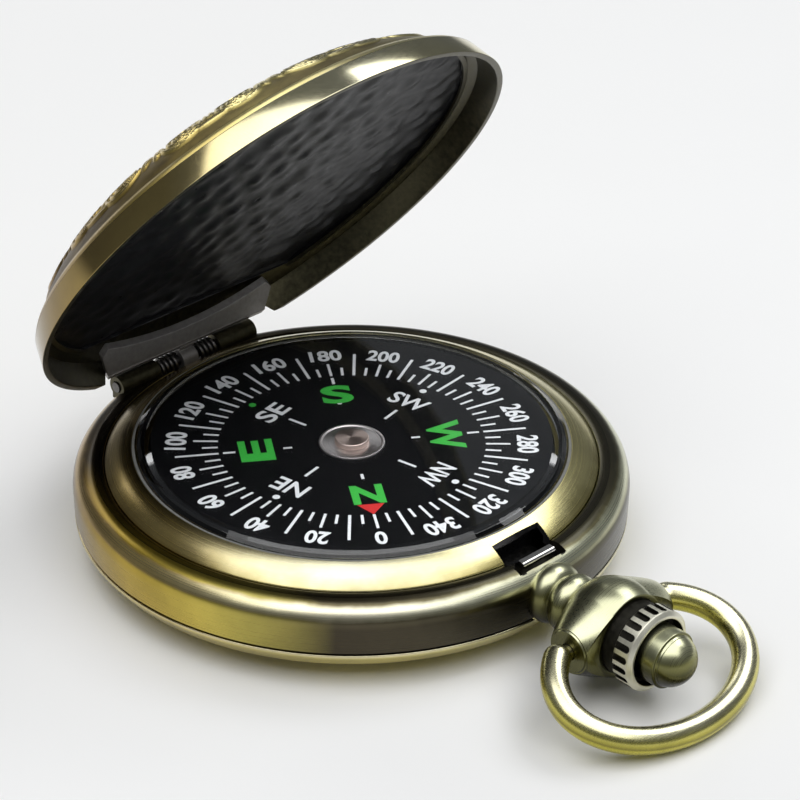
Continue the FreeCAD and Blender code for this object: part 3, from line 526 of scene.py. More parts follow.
# BOW_METAL: a yellow painted floor reflection on downward faces, painted shade on sideways faces and a cream
# painted highlight on top.
BOW_METAL = plated("bow_metal", [
    (0.10, (0.66, 0.60, 0.08)), (0.36, (0.64, 0.58, 0.09)), (0.46, (0.26, 0.23, 0.05)),
    (0.58, (0.50, 0.45, 0.09)), (0.72, (0.76, 0.70, 0.20)), (0.90, (0.88, 0.85, 0.60))],
    roughness=0.27, grain=0.1, side_light_tint=FAINT_SIDE_LIGHT_TINT)
# CROWN_METAL: slightly paler up-facing faces, a faint painted highlight.
CROWN_METAL = plated("crown_metal", [
    (0.1, (0.84, 0.81, 0.66)), (0.7, (0.95, 0.93, 0.82))], "Y", PENDANT_CENTRE, 0.46, side_light_tint=FAINT_SIDE_LIGHT_TINT)
RELIEF_METAL = embossed("relief_metal")
DARK_BRONZE = dull("dark_bronze", (0.050, 0.045, 0.026), (0.100, 0.090, 0.052), 0.36, metallic=0.9)
DARK_STEEL = dull("dark_steel", (0.110, 0.104, 0.100), (0.190, 0.182, 0.176), 0.36, metallic=1.0)
BRIGHT_STEEL = dull("bright_steel", (0.62, 0.60, 0.58), (0.80, 0.78, 0.76), 0.16, metallic=1.0, strength=0.05)
PLATE_STEEL = dull("plate_steel", (0.25, 0.235, 0.225), (0.34, 0.325, 0.31), 0.45, metallic=0.6)
# Painted shade: near black, for the insides of cuts, bores and flutes.
SLOT_SHADE = dull("slot_shade", (0.012, 0.011, 0.008), (0.03, 0.028, 0.02), 0.5, metallic=0.7)
# Painted shade: charcoal, for the walls of the catch notch in the bezel.
NOTCH_SHADE = dull("notch_shade", (0.030, 0.030, 0.034), (0.060, 0.060, 0.066), 0.4, metallic=0.8)
LINING = dull("hammered_lining", (0.005, 0.005, 0.006), (0.009, 0.009, 0.010), 0.34, scale=1.2, strength=0.1,
              Specular_IOR_Level=0.13)
CARD_BLACK = dull("card_black", (0.0020, 0.0020, 0.0024), (0.0045, 0.0045, 0.0050), 0.5, scale=5.0,
                  Specular_IOR_Level=0.06)
CAPSULE_BLACK = dull("capsule_black", (0.006, 0.006, 0.007), (0.012, 0.012, 0.013), 0.3, scale=4.0)
GASKET_CLEAR = dull("gasket_clear", (0.16, 0.16, 0.15), (0.26, 0.26, 0.24), 0.35, scale=4.0)
RUBY = dull("jewel_ruby", (0.35, 0.01, 0.04), (0.45, 0.02, 0.06), 0.1, scale=4.0)
WHITE_INK = printed("white_ink", (0.86, 0.86, 0.86))
GREEN_INK = printed("green_ink", (0.035, 0.46, 0.045))
RED_INK = printed("red_ink", (0.62, 0.012, 0.012))
GLASS = crystal_glass()


def dress(obj, *materials):
    """Give an object these materials and no others; face indices are set after this."""
    obj.data.materials.clear()
    for material in materials:
        obj.data.materials.append(material)
    return obj


def inner_faces(obj, test):
    """Give the second material to the faces for which test(centre in mm, normal) is true."""
    for polygon in obj.data.polygons:
        if test(polygon.center / MM, polygon.normal):
            polygon.material_index = 1


# -------- case
def pendant_turn():
    """Turns a lathe's Z axis to point along -Y at the pendant's height, in mm."""
    return Matrix.Translation((0, 0, PENDANT_Z)) @ Matrix.Rotation(radians(90), 4, "X")


def drill(name, radius, start, end, turn, steps):
    """A plain cylinder used only as a cutter."""
    return lathe(name, [(0, start), (radius, start), (radius, end), (0, end)], turn, steps)


def case_body():
    """The rounded middle of the case, cut for the catch, the hinge and the stem."""
    bore, shelf, foot, top = 21.2, 20.0, 24.2, 7.95
    notch_back, notch_front, above = -23.9, -20.9, 9.5
    body = lathe("case_middle", trace([
        (shelf, 4.6), (foot, 4.6), (foot, 3.6), (CASE_RADIUS - 0.05, 3.6), (CASE_RADIUS, 6.0, 2.079, 1),
        (SEAT_RADIUS, top), (SEAT_RADIUS, 6.9), (bore, 6.9), (bore, 5.0), (shelf, 5.0)], fillet=0.1))
    combine(body, block((-NOTCH_HALF, notch_back, 6.6), (NOTCH_HALF, notch_front, above)))
    combine(body, block((-HINGE_CUT_HALF, 22.12, 6.75), (HINGE_CUT_HALF, 27.0, above)))
    combine(body, drill("cutter", STEM_BORE, 19.5, 25.3, pendant_turn(), 48))
    dress(smooth(body), CASE_METAL, SLOT_SHADE)

    # The catch notch's faces and the hinge recess floor get painted shade.
    def in_cuts(c, n):
        notch = abs(c.x) < NOTCH_HALF + 0.02 and notch_back - 0.05 < c.y < notch_front + 0.4
        recess = abs(c.x) < HINGE_CUT_HALF + 0.02 and c.y > 21.9 and n.z > 0.5
        return notch and c.z < top - 0.05 or recess and c.z < top - 0.02

    inner_faces(body, in_cuts)
    return body, "case", "case_body", "antique_brass"


def back_cover():
    """The dished cover, with its rim hollowed under the pendant."""
    skirt, spigot, inside, floor_height = 24.95, 24.2, 23.3, 0.9
    body = lathe("back_shell", trace([
        (0, 0), (16.4, 0, 15.6, 1), (24.3, 2.15), (skirt, 3.1), (skirt, 3.4), (spigot, 3.4), (spigot, 4.25),
        (inside, 4.25), (inside, 2.9, 14.7, -1), (16.0, floor_height), (0, floor_height)], fillet=0.1))
    hollow = pendant_turn() @ Matrix.Translation((0, 0, 24.27))
    combine(body, drill("cutter", 2.8, 0, 3.0, hollow, 64))
    return dress(smooth(body), BRIGHT_METAL), "case", "back_cover", "bright_brass"


def bezel():
    """The sloping ring round the crystal, cut for the catch."""
    sight, lip, skirt, rim, notch_end = 18.95, 19.65, 21.3, 22.1, -20.4
    ring = lathe("bezel_ring", trace([
        (sight, 8.7), (20.3, 8.7), (skirt, 7.95), (skirt, 7.25), (rim, 7.25), (rim, 8.01, 8.0, 1),
        (lip, 9.45), (lip, BEZEL_SEAT), (sight, BEZEL_SEAT)], fillet=0.07))
    combine(ring, block((-NOTCH_HALF, -25.0, 6.6), (NOTCH_HALF, notch_end, 10.0)))
    dress(smooth(ring), BEZEL_METAL, NOTCH_SHADE)

    # The catch notch's walls get painted shade.
    def in_notch(c, n):
        return abs(c.x) < NOTCH_HALF + 0.02 and -22.5 < c.y < notch_end + 0.1 and n.z < 0.2

    inner_faces(ring, in_notch)
    return ring, "case", "bezel", "bright_brass"


def cap_radius(width, rise):
    """Radius of the sphere whose cap has this half width and this rise."""
    return (width ** 2 + rise ** 2) / (2 * rise)


def crystal():
    """The lens: a thin domed shell with a bevelled rim."""
    edge, bevel, inner, foot = 19.4, 18.8, 17.95, 18.5
    wall, rim_top, steps = 0.45, 9.5, 40
    rise = CRYSTAL_TOP - LENS_SHOULDER
    shoulder = LENS_SHOULDER - wall
    under = arc_points((0, CRYSTAL_TOP - wall), (inner, shoulder), cap_radius(inner, rise), -1, steps)
    under += [Vector((inner, shoulder)), Vector((foot, BEZEL_SEAT))]
    over = arc_points((bevel, LENS_SHOULDER), (0, CRYSTAL_TOP), cap_radius(bevel, rise), 1, steps)
    rim = [Vector((edge, BEZEL_SEAT)), Vector((edge, rim_top))]
    outline = under + rim + over + [Vector((0, CRYSTAL_TOP))]
    return dress(smooth(lathe("crystal_lens", outline), 12), GLASS), "case", "crystal", "glass_clear"


# -------- card and its printing
INK_Z = CARD_TOP + 0.012
TICK_INNER = 12.0
STROKE = 0.27
FINE_STROKE = 0.25
DOT_RADIUS = 0.34
DOT_DISTANCE = 11.2


def on_card(ink):
    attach(ink, "card")


def bearing_angle(bearing):
    """Direction in the object's frame of a bearing on the card, in radians."""
    return radians(90 - bearing + HEADING)


def slab(outline, low, high):
    """Vertices and faces of a thin flat solid over a convex outline."""
    count = len(outline)
    vertices = [(x, y, z) for z in (low, high) for x, y in outline]
    faces = [tuple(reversed(range(count))), tuple(range(count, 2 * count))]
    return vertices, faces + loop_faces(0, count, count)


def print_shapes(name, outlines, material):
    """Flat printed shapes as one mesh; each is a bearing and an outline in (across, outward) millimetres."""
    vertices, faces = [], []
    for bearing, outline in outlines:
        a = bearing_angle(bearing)
        outward = Vector((cos(a), sin(a)))
        across = Vector((sin(a), -cos(a)))
        placed = [tuple(across * u + outward * v) for u, v in outline]
        more, sides = slab(placed, CARD_TOP - 0.01, INK_Z)
        faces += [tuple(i + len(vertices) for i in side) for side in sides]
        vertices += more
    on_card(dress(make_object(name, vertices, faces), material))


def stroke(width, start, end):
    """Outline of a straight line that points outward."""
    return [(-width / 2, start), (width / 2, start), (width / 2, end), (-width / 2, end)]


def spot(radius, distance):
    """Outline of a round dot."""
    steps = 20
    angles = [2 * pi * k / steps for k in range(steps)]
    return [(radius * cos(a), distance + radius * sin(a)) for a in angles]


def print_text(name, words, weight, material):
    """Printed words as one mesh, tops outward; each is (text, bearing, distance, width, height)."""
    em_per_height, ink_lift, half_thickness = 1.35, 0.002, 0.011
    parts = []
    for text, bearing, distance, width, height in words:
        curve = bpy.data.curves.new("word", "FONT")
        curve.body = text
        curve.size = height * em_per_height * MM
        curve.align_x = "CENTER"
        curve.align_y = "CENTER"
        curve.offset = weight * MM
        curve.extrude = half_thickness * MM
        curve.resolution_u = 6
        obj = add("word", curve)
        bpy.context.view_layer.update()
        mesh = evaluated_mesh(obj)
        bpy.data.objects.remove(obj)
        low = Vector([min(v.co[i] for v in mesh.vertices) for i in range(3)])
        high = Vector([max(v.co[i] for v in mesh.vertices) for i in range(3)])
        centre = Matrix.Translation(-(low + high) / 2)
        fit = Matrix.Diagonal((width * MM / (high.x - low.x), height * MM / (high.y - low.y), 1, 1))
        a = bearing_angle(bearing)
        place = Matrix.Translation(Vector((cos(a), sin(a), 0)) * distance * MM)
        lift = Matrix.Translation((0, 0, (CARD_TOP + ink_lift) * MM))
        mesh.transform(lift @ place @ Matrix.Rotation(a - pi / 2, 4, "Z") @ fit @ centre)
        parts.append(add("word", mesh))
    on_card(dress(join(name, parts), material))


def dial_marks():
    """Degree ticks, dashes, dots and the north arrow."""
    ticks = []
    for bearing in range(0, 360, 5):
        if bearing % 20 == 10:
            line = stroke(STROKE, TICK_INNER, 15.9)
        elif bearing % 20 == 0:
            line = stroke(FINE_STROKE, TICK_INNER, 14.2)
        else:
            line = stroke(FINE_STROKE, TICK_INNER, 13.4)
        ticks.append((bearing, line))
    dashes = [(b, stroke(STROKE, 5.4, 6.2)) for b in (0, 90, 270)]
    dashes += [(b, stroke(STROKE, 5.1, 7.0)) for b in (45, 135, 225, 315)]
    dashes += [(b, stroke(STROKE, 10.5, 11.6)) for b in (90, 180, 270)]
    dots = [(b, spot(DOT_RADIUS, DOT_DISTANCE)) for b in (45, 225, 315)]
    dots.append((180, spot(0.22, 7.0)))
    arrow = [(-1.2, 10.35), (1.2, 10.35), (0, TICK_INNER)]
    print_shapes("dial_ticks", ticks, WHITE_INK)
    print_shapes("dial_dashes", dashes + dots, WHITE_INK)
    print_shapes("dial_green_dot", [(135, spot(DOT_RADIUS, DOT_DISTANCE))], GREEN_INK)
    print_shapes("dial_north_arrow", [(0, arrow)], RED_INK)


def dial_words():
    """Degree numbers and compass letters."""
    numeral_distance, numeral_height, numeral_widths = 15.75, 1.95, {1: 1.05, 2: 2.1, 3: 3.05}
    corner_height, corner_width, wider_w = 2.05, 3.3, 0.5
    numerals = []
    for bearing in range(0, 360, 20):
        text = str(bearing)
        numerals.append((text, bearing, numeral_distance, numeral_widths[len(text)], numeral_height))
    cardinals = [
        ("N", 0, 8.75, 2.9, 3.05), ("E", 90, 8.6, 3.6, 3.1), ("S", 180, 8.6, 2.9, 3.2),
        ("W", 270, 8.5, 4.9, 3.1)]
    corners = []
    for text, bearing, distance in (("NE", 45, 9.2), ("SE", 135, 8.9), ("SW", 225, 8.9), ("NW", 315, 9.1)):
        corners.append((text, bearing, distance, corner_width + wider_w * text.count("W"), corner_height))
    print_text("dial_numerals", numerals, 0.075, WHITE_INK)
    print_text("dial_cardinals", cardinals, 0.15, GREEN_INK)
    print_text("dial_intercardinals", corners, 0.05, WHITE_INK)


def hub():
    """The turned steel disc with its raised edge, and the copper cap on it."""
    jewel, sleeve, cap_edge, steps = 0.95, 1.35, 1.55, 144
    disc = lathe("hub_disc", trace([
        (jewel, 7.7), (sleeve, 7.7), (sleeve, CARD_TOP), (3.0, CARD_TOP), (2.95, CARD_TOP + 0.18),
        (2.76, CARD_TOP + 0.2), (2.66, CARD_TOP + 0.09), (1.6, CARD_TOP + 0.14), (0, CARD_TOP + 0.14),
        (0, 8.6), (jewel, 8.6)], fillet=0.04), steps=steps)
    dress(smooth(disc), turned_steel("hub_steel", (0.86, 0.80, 0.78)))
    cap = lathe("hub_button", trace([
        (0, 8.94), (cap_edge, 8.94), (cap_edge, 9.34), (1.47, 9.42), (0.2, 9.46), (0, 9.4)],
        fillet=0.04), steps=steps)
    dress(smooth(cap), turned_steel("hub_copper", (0.90, 0.72, 0.64)))
    for piece, node in ((disc, "card_hub"), (cap, "hub_cap")):
        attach(piece, "card")
        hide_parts(node)


# -------- lid, built closed and then opened
LID_RIM = 8.11           # height of the rim
LID_RADIUS = 24.27
LID_WALL = 0.6
CREASE = (23.6, 2.24)    # radius and height over the rim, where the dome starts
DOME_FLAT = (14.0, 6.9)  # where the dome's shoulder meets its flatter cap
DOME_RISE = 7.45
CHORD_Y = 21.27          # the straight cut of the wall at the hinge
PLATE_INNER_Y = 17.6     # the hinge plate's edge towards the middle
RELIEF_HEIGHT = 0.3
MOTIFS = 10              # repeats of the border's motif
BORDER_RADIUS = 18.9     # middle of the border
BEADS, BEAD_RADIUS = 60, 14.5
PETAL_PAIRS = 6
LEAVES = (               # across, outward, angle, half length, half width, within one motif
    (0.0, -1.2, pi / 2, 2.3, 0.75), (0.0, 1.9, 0.0, 1.9, 0.55),
    (-5.3, -0.4, pi / 2, 2.2, 0.6), (5.3, -0.4, pi / 2, 2.2, 0.6),
    (-1.5, -2.4, 2.5, 1.2, 0.42), (1.5, -2.4, 0.64, 1.2, 0.42))


def lid_turn():
    """The matrix, in metres, that opens the lid to its rest pose."""
    pivot = Matrix.Translation(HINGE * MM)
    return pivot @ Matrix.Rotation(radians(-LID_OPEN), 4, "X") @ pivot.inverted()


def ridge(distance, width):
    """1 on a line, falling smoothly to 0 at its width."""
    return np.clip(1 - (distance / width) ** 2, 0, None) ** 1.5


def scroll(u, v, cx, cy, size, hand):
    """Height of a spiral scroll about (cx, cy): a rounded wire that winds towards a bead."""
    dx, dy = (u - cx) * hand, v - cy
    radius = np.hypot(dx, dy)
    angle = np.arctan2(dy, dx)
    height = ridge(radius, size * 0.2)
    for winding in range(3):
        path = size * (0.30 + 0.115 * (angle / pi + 2 * winding))
        height = np.maximum(height, ridge(radius - path, size * 0.115) * (path < size * 1.02))
    return height


def leaf(u, v, cx, cy, angle, length, width):
    """Height of a pointed leaf with a groove along its middle."""
    dx, dy = u - cx, v - cy
    along = (dx * cos(angle) + dy * sin(angle)) / length
    across = (-dx * sin(angle) + dy * cos(angle)) / width
    inside = np.clip(1 - along ** 2, 0, None)
    body = np.clip(1 - (across / np.maximum(inside, 1e-3)) ** 2, 0, None) ** 0.7 * (inside > 0)
    return body * (1 - 0.55 * ridge(across, 0.28)) * np.minimum(1, inside * 2)


def relief(x, y):
    """Height of the engraved pattern over the dome, 0 to 1, for points in millimetres."""
    radius = np.hypot(x, y)
    turn = np.arctan2(y, x)
    sector = 2 * pi / MOTIFS
    local = (turn / sector - np.floor(turn / sector) - 0.5) * sector
    u, v = local * BORDER_RADIUS, radius - BORDER_RADIUS
    shapes = [scroll(u, v, -2.6, 0.35, 2.45, 1), scroll(u, v, 2.6, 0.35, 2.45, -1)]
    shapes += [leaf(u, v, *place) for place in LEAVES]
    bead_turn = (turn * BEADS / (2 * pi)) % 1 - 0.5
    bead_offset = np.hypot(bead_turn * 2 * pi / BEADS * BEAD_RADIUS, radius - BEAD_RADIUS)
    shapes += [ridge(bead_offset, 0.52), 0.8 * ridge(radius - 13.6, 0.3)]
    petals = np.abs(np.cos(turn * PETAL_PAIRS))
    petal_reach = 4.4 + 7.2 * petals ** 0.7
    inner = np.clip((petal_reach - radius) / 1.1, 0, 1) * np.clip((radius - 2.4) / 0.8, 0, 1)
    vein = 1 - 0.6 * ridge(np.sin(turn * PETAL_PAIRS) * radius * 0.35, 0.3)
    shapes += [inner ** 0.7 * vein * 0.9, ridge(radius, 1.9), 0.8 * ridge(radius - 2.35, 0.28)]
    fade = np.clip((22.5 - radius) / 0.5, 0, 1)
    return np.maximum.reduce(shapes) * fade


def lid_band():
    """The lid's sloping wall, cut straight at the hinge."""
    top, cut_height = LID_RIM + CREASE[1] + 0.02, 1.95
    band = lathe("band", trace([
        (LID_RADIUS - LID_WALL, LID_RIM), (LID_RADIUS, LID_RIM), (CREASE[0], top),
        (CREASE[0] - LID_WALL, top)], fillet=0.09), steps=360)
    cutter_top = (LID_RADIUS, LID_RADIUS + 1, LID_RIM + cut_height)
    combine(band, block((-LID_RADIUS, CHORD_Y, LID_RIM - 1), cutter_top))
    dress(smooth(band), LID_BAND_METAL, DARK_BRONZE, RELIEF_METAL)
    inner_faces(band, lambda c, n: n.x * c.x + n.y * c.y < 6 or n.z < -0.75)
    return band


def dome_profile(offset, radius):
    """Height of the dome above the rim, at a radius, for the outer skin moved inward by offset."""
    shoulder = 12.4
    start, end = Vector(CREASE), Vector(DOME_FLAT)
    way = end - start
    left = Vector((-way.y, way.x)).normalized()
    centre = (start + end) / 2 + left * sqrt(shoulder ** 2 - (way.length / 2) ** 2)
    crown = cap_radius(DOME_FLAT[0], DOME_RISE - DOME_FLAT[1])
    on_shoulder = centre.y + np.sqrt(np.maximum((shoulder - offset) ** 2 - (radius - centre.x) ** 2, 0))
    on_cap = DOME_RISE - crown + np.sqrt((crown - offset) ** 2 - radius ** 2)
    return np.where(radius > DOME_FLAT[0], on_shoulder, on_cap)


def lid_dome():
    """The dome with its raised pattern, as a closed shell on top of the band."""
    rings, sectors = 150, 900
    pattern_end, pattern_fade, plain_from = 23.3, 0.7, 22.7
    plain_shade, inside_shade = 0.55, 0.1
    outer = CREASE[0] * np.linspace(0, 1, rings + 1)[1:]
    turns = np.linspace(0, 2 * pi, sectors, endpoint=False)
    radius, turn = np.meshgrid(outer, turns, indexing="ij")
    x, y = radius * np.cos(turn), radius * np.sin(turn)
    pattern = relief(x, y)
    sink = RELIEF_HEIGHT * (1 - pattern) * np.clip((pattern_end - radius) / pattern_fade, 0, 1)
    z = LID_RIM + dome_profile(0, radius) - sink
    vertices = [(0.0, 0.0, LID_RIM + DOME_RISE)] + list(zip(x.ravel(), y.ravel(), z.ravel()))
    shade = [1.0] + list(np.where(radius > plain_from, plain_shade, pattern * 0.9 + 0.05).ravel())
    faces = [(0, 1 + k, 1 + (k + 1) % sectors) for k in range(sectors)]
    for i in range(rings - 1):
        faces += loop_faces(1 + i * sectors, 1 + (i + 1) * sectors, sectors)
    previous = 1 + (rings - 1) * sectors
    for ratio in (1.0, 0.94, 0.85, 0.7, 0.5, 0.25):
        r = (CREASE[0] - LID_WALL) * ratio
        height = LID_RIM + (CREASE[1] if ratio == 1.0 else float(dome_profile(LID_WALL, np.array(r))))
        base = len(vertices)
        vertices += [(r * cos(t), r * sin(t), height) for t in turns]
        shade += [inside_shade] * sectors
        faces += loop_faces(previous, base, sectors)
        previous = base
    centre = len(vertices)
    vertices.append((0.0, 0.0, LID_RIM + DOME_RISE - LID_WALL))
    shade.append(inside_shade)
    faces += [(previous + k, centre, previous + (k + 1) % sectors) for k in range(sectors)]
    dome = make_object("dome", vertices, faces)
    values = dome.data.attributes.new("relief", "FLOAT", "POINT")
    values.data.foreach_set("value", np.array(shade, np.float32))
    dress(smooth(dome, 60), LID_BAND_METAL, DARK_BRONZE, RELIEF_METAL)
    for polygon in dome.data.polygons:
        inside = polygon.normal.z < -0.2
        polygon.material_index = 1 if inside else 2
    return dome


def open_lid(obj, node):
    """Turn a closed piece of the lid to its rest pose and let it stand for a node."""
    obj.data.transform(lid_turn())
    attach(obj, "lid")
    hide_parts(node)


def lid_lining():
    """Black lining with a soft hammered surface, cut straight at the hinge plate."""
    rings, sectors = 110, 400
    pitch, row_pitch, depth, face_z = 2.8, 0.87, 0.34, LID_RIM + 2.8
    span, scatter, full_swell, flat_rim, edge_inset, thickness = 14, 0.7, 1.5, 0.985, 0.9, 0.4
    lumps = []
    for row in range(-span, span + 1):
        for column in range(-span, span + 1):
            px = (column + 0.5 * (row % 2)) * pitch + random.uniform(-scatter, scatter)
            py = row * pitch * row_pitch + random.uniform(-scatter, scatter)
            lumps.append((px, py, random.uniform(0.8, 1.25), random.uniform(0.5, 1.0)))
    turns = np.linspace(0, 2 * pi, sectors, endpoint=False)
    rise = np.sin(turns)
    to_cut = np.where(rise > 0.01, (PLATE_INNER_Y + 0.4) / np.maximum(rise, 0.01), LINING_RADIUS)
    reach = np.minimum(LINING_RADIUS, to_cut)
    share = np.linspace(0, 1, rings + 1)[1:]
    x = share[:, None] * reach[None, :] * np.cos(turns)[None, :]
    y = share[:, None] * reach[None, :] * np.sin(turns)[None, :]
    swell = np.zeros_like(x)
    for px, py, width, height in lumps:
        swell += height * np.exp(-((x - px) ** 2 + (y - py) ** 2) / width ** 2)
    z = face_z + depth * (1 - np.clip(swell / full_swell, 0, 1)) * (share[:, None] < flat_rim)
    vertices = [(0.0, 0.0, face_z + depth)] + list(zip(x.ravel(), y.ravel(), z.ravel()))
    faces = [(0, 1 + (k + 1) % sectors, 1 + k) for k in range(sectors)]
    for i in range(rings - 1):
        faces += loop_faces(1 + i * sectors, 1 + (i + 1) * sectors, sectors)
    last, back = 1 + (rings - 1) * sectors, len(vertices)
    shrink = (LINING_RADIUS - edge_inset) / LINING_RADIUS
    for rim_x, rim_y in zip(x[-1], y[-1]):
        vertices.append((rim_x * shrink, min(rim_y * shrink, rim_y), face_z + thickness))
    faces += loop_faces(last, back, sectors)
    faces.append(tuple(range(back, back + sectors)))
    lining = dress(smooth(make_object("lining_sheet", vertices, faces), 50), LINING)
    open_lid(lining, "lid_lining")


def lid():
    shell = join("lid_cover", [lid_band(), lid_dome()])
    open_lid(shell, "lid_shell")
    lid_lining()


# -------- pendant, crown and button
def off_axis(point):
    """Distance of a point from the pendant's axis."""
    return hypot(point.x, point.z - PENDANT_Z)


def pendant_neck():
    """The ball with its collars, its two bosses for the bow and its bores."""
    ball, centre, start, rim = 4.3, -BALL_Y, 29.24, PENDANT_FRONT
    bore, tube, tube_end, collar, ring, socket = 0.62, 1.1, 23.95, 2.3, 2.15, 31.2

    def ball_radius(distance):
        return sqrt(ball ** 2 - (distance - centre) ** 2)

    outline = trace([
        (bore, 21.3), (tube, 21.3), (tube, tube_end), (collar, tube_end), (collar, 24.3, 1.3, 1),
        (ring, 26.35, 1.4, 1), (ring, 28.5, 1.6, -1), (ball_radius(start), start, ball, 1),
        (ball_radius(rim), rim), (CROWN_BORE, rim), (CROWN_BORE, socket), (bore, socket)],
        fillet=0.12, arc_steps=28)
    neck = lathe("neck_ball", outline, pendant_turn(), 192)
    across = Matrix.Translation((0, BALL_Y, PENDANT_Z)) @ Matrix.Rotation(radians(90), 4, "Y")
    boss_radius, boss_core, flare, flare_length, flare_start = 1.95, 0.5, 1.75, 3.3, 2.15
    for side in (-1, 1):
        end = side * (NECK_HALF_WIDTH - 0.02)
        boss = [Vector((boss_core, side * flare_start))]
        for t in [i / 24 for i in range(24)]:
            radius = boss_radius + flare * (1 - t) ** 0.85
            boss.append(Vector((radius, side * (flare_start + flare_length * t))))
        boss += [Vector((boss_radius, end - side * 0.12)), Vector((1.86, end)), Vector((boss_core, end))]
        boss = lathe("boss", boss, across, 128)
        combine(boss, block((-9, -40, 0), (9, 0.03 - PENDANT_FRONT, 12)))
        combine(neck, boss, "UNION")
    combine(neck, drill("cutter", CROWN_BORE - 0.02, 31.25, 36.0, pendant_turn(), 192))
    combine(neck, drill("cutter", 0.78, -8, 8, across, 48))
    dress(smooth(neck, 40), PENDANT_METAL, SLOT_SHADE)
    # The faces inside the crown's bore get painted shade.
    inner_faces(neck, lambda c, n: c.y < -31.0 and off_axis(c) < CROWN_BORE + 0.05)
    return neck, "case", "pendant_neck", "antique_brass"


def crown():
    """The crown's ring, with rounded slots open to the back and a recess for the button."""
    count, width, depth, slot_end = 22, 0.62, 0.38, 1.5
    front, back, recess, recess_floor, bore = 37.2, 35.3, 3.05, 36.2, 2.65
    ring = lathe("crown_ring", trace([
        (bore, 32.2), (CROWN_BORE, 32.2), (CROWN_BORE, back), (CROWN_RADIUS, back),
        (CROWN_RADIUS, front - 0.3), (CROWN_RADIUS - 0.35, front), (recess, front), (recess, recess_floor),
        (bore, recess_floor)],
        fillet=0.06), pendant_turn(), 352)
    half = width / 2
    arc = [pi * i / 16 for i in range(17)]
    outline = [(half * cos(t), slot_end - half + half * sin(t)) for t in arc]
    outline += [(-half, -0.2), (half, -0.2)]
    slot, sides = slab(outline, CROWN_RADIUS - depth, CROWN_RADIUS + 0.5)
    stand = Matrix(((0, 0, 1, 0), (1, 0, 0, 0), (0, 1, 0, 0), (0, 0, 0, 1)))
    vertices, faces = [], []
    for k in range(count):
        around = Matrix.Rotation(2 * pi * (k + 0.5) / count, 4, "Z")
        turn = pendant_turn() @ around @ Matrix.Translation((0, 0, back))
        faces += [tuple(i + len(vertices) for i in side) for side in sides]
        vertices += [turn @ stand @ Vector(v) for v in slot]
    combine(ring, make_object("cutter", vertices, faces))
    dress(smooth(ring, 40), CROWN_METAL, SLOT_SHADE)

    # The flute floors and walls and the button recess get painted shade.
    def in_flute(c, n):
        return recess + 0.05 < off_axis(c) < CROWN_RADIUS - 0.07 and c.y > 0.25 - front and abs(n.y) < 0.98

    inner_faces(ring, in_flute)
    inner_faces(ring, lambda c, n: off_axis(c) < recess + 0.02 and c.y > 0.1 - front)
    return ring, "case", "fluted_crown", "antique_brass"


def button():
    """The knob: a short cylinder, a step and a dome."""
    back, step, foot, hollow, hollow_end = 36.0, 38.75, 39.05, 0.55, 37.2
    body, dome_radius = 2.55, 2.25
    dome = arc_points((dome_radius, foot), (0, BUTTON_TIP), cap_radius(dome_radius, BUTTON_TIP - foot), 1, 28)
    outline = trace([
        (hollow, hollow_end), (hollow, back), (body, back), (body, step), (2.32, step), (dome_radius, foot)],
        fillet=0.1)
    middle = [Vector((0, BUTTON_TIP)), Vector((0, hollow_end))]
    cap = lathe("button_knob", outline[:-1] + dome + middle, pendant_turn(), 160)
    return dress(smooth(cap, 40), PENDANT_METAL), "button", "button_cap", "antique_brass"


# -------- bow
def bow():
    """Oval wire ring with rounded ends and two end pins, drooped as far as the table."""
    half_width, depth, centre, wire = 9.77, 6.6, 4.8, BOW_WIRE
    corner = asin(centre / depth)
    steps, sides, cap_steps, pin_start, pin_radius = 220, 48, 8, 3.9, 0.7
    angles = [pi - corner + (pi + 2 * corner) * i / steps for i in range(steps + 1)]
    path = [Vector((half_width * cos(a), -centre + depth * sin(a), 0)) for a in angles]
    caps = []
    for end, sign in ((0, -1), (steps, 1)):
        tangent = (path[1] - path[0] if end == 0 else path[-1] - path[-2]).normalized()
        bulge = [pi / 2 * k / cap_steps for k in range(1, cap_steps)]
        out = tangent * sign * wire
        caps.append([(path[end] + out * sin(t), wire * cos(t), tangent) for t in bulge])
    body = []
    for i, point in enumerate(path):
        ahead, behind = path[min(i + 1, steps)], path[max(i - 1, 0)]
        body.append((point, wire, (ahead - behind).normalized()))
    stations = caps[0][::-1] + body + caps[1]
    vertices, faces = [], []
    up = Vector((0, 0, 1))
    for point, radius, tangent in stations:
        side = tangent.cross(up)
        for k in range(sides):
            t = 2 * pi * k / sides
            vertices.append(point + side * radius * cos(t) + up * radius * sin(t))
    for i in range(len(stations) - 1):
        faces += loop_faces(i * sides, (i + 1) * sides, sides)
    faces.append(tuple(range(sides)))
    faces.append(tuple(range(len(vertices) - sides, len(vertices))))
    place = Matrix.Translation((0, BALL_Y, PENDANT_Z)) @ Matrix.Rotation(BOW_DROOP, 4, "X")
    ring = make_object("ring", [place @ v for v in vertices], faces)
    pins = []
    for side in (-1, 1):
        start, end = side * pin_start, side * half_width * cos(corner)
        pin = trace([(0, start), (pin_radius, start), (pin_radius, end), (0, end)], fillet=0.1)
        pins.append(lathe("pin", pin, place @ Matrix.Rotation(radians(90), 4, "Y"), 32))
    whole = join("bow_ring", [ring] + pins)
    return dress(smooth(whole, 40), BOW_METAL), "bow", "bow", "antique_brass"


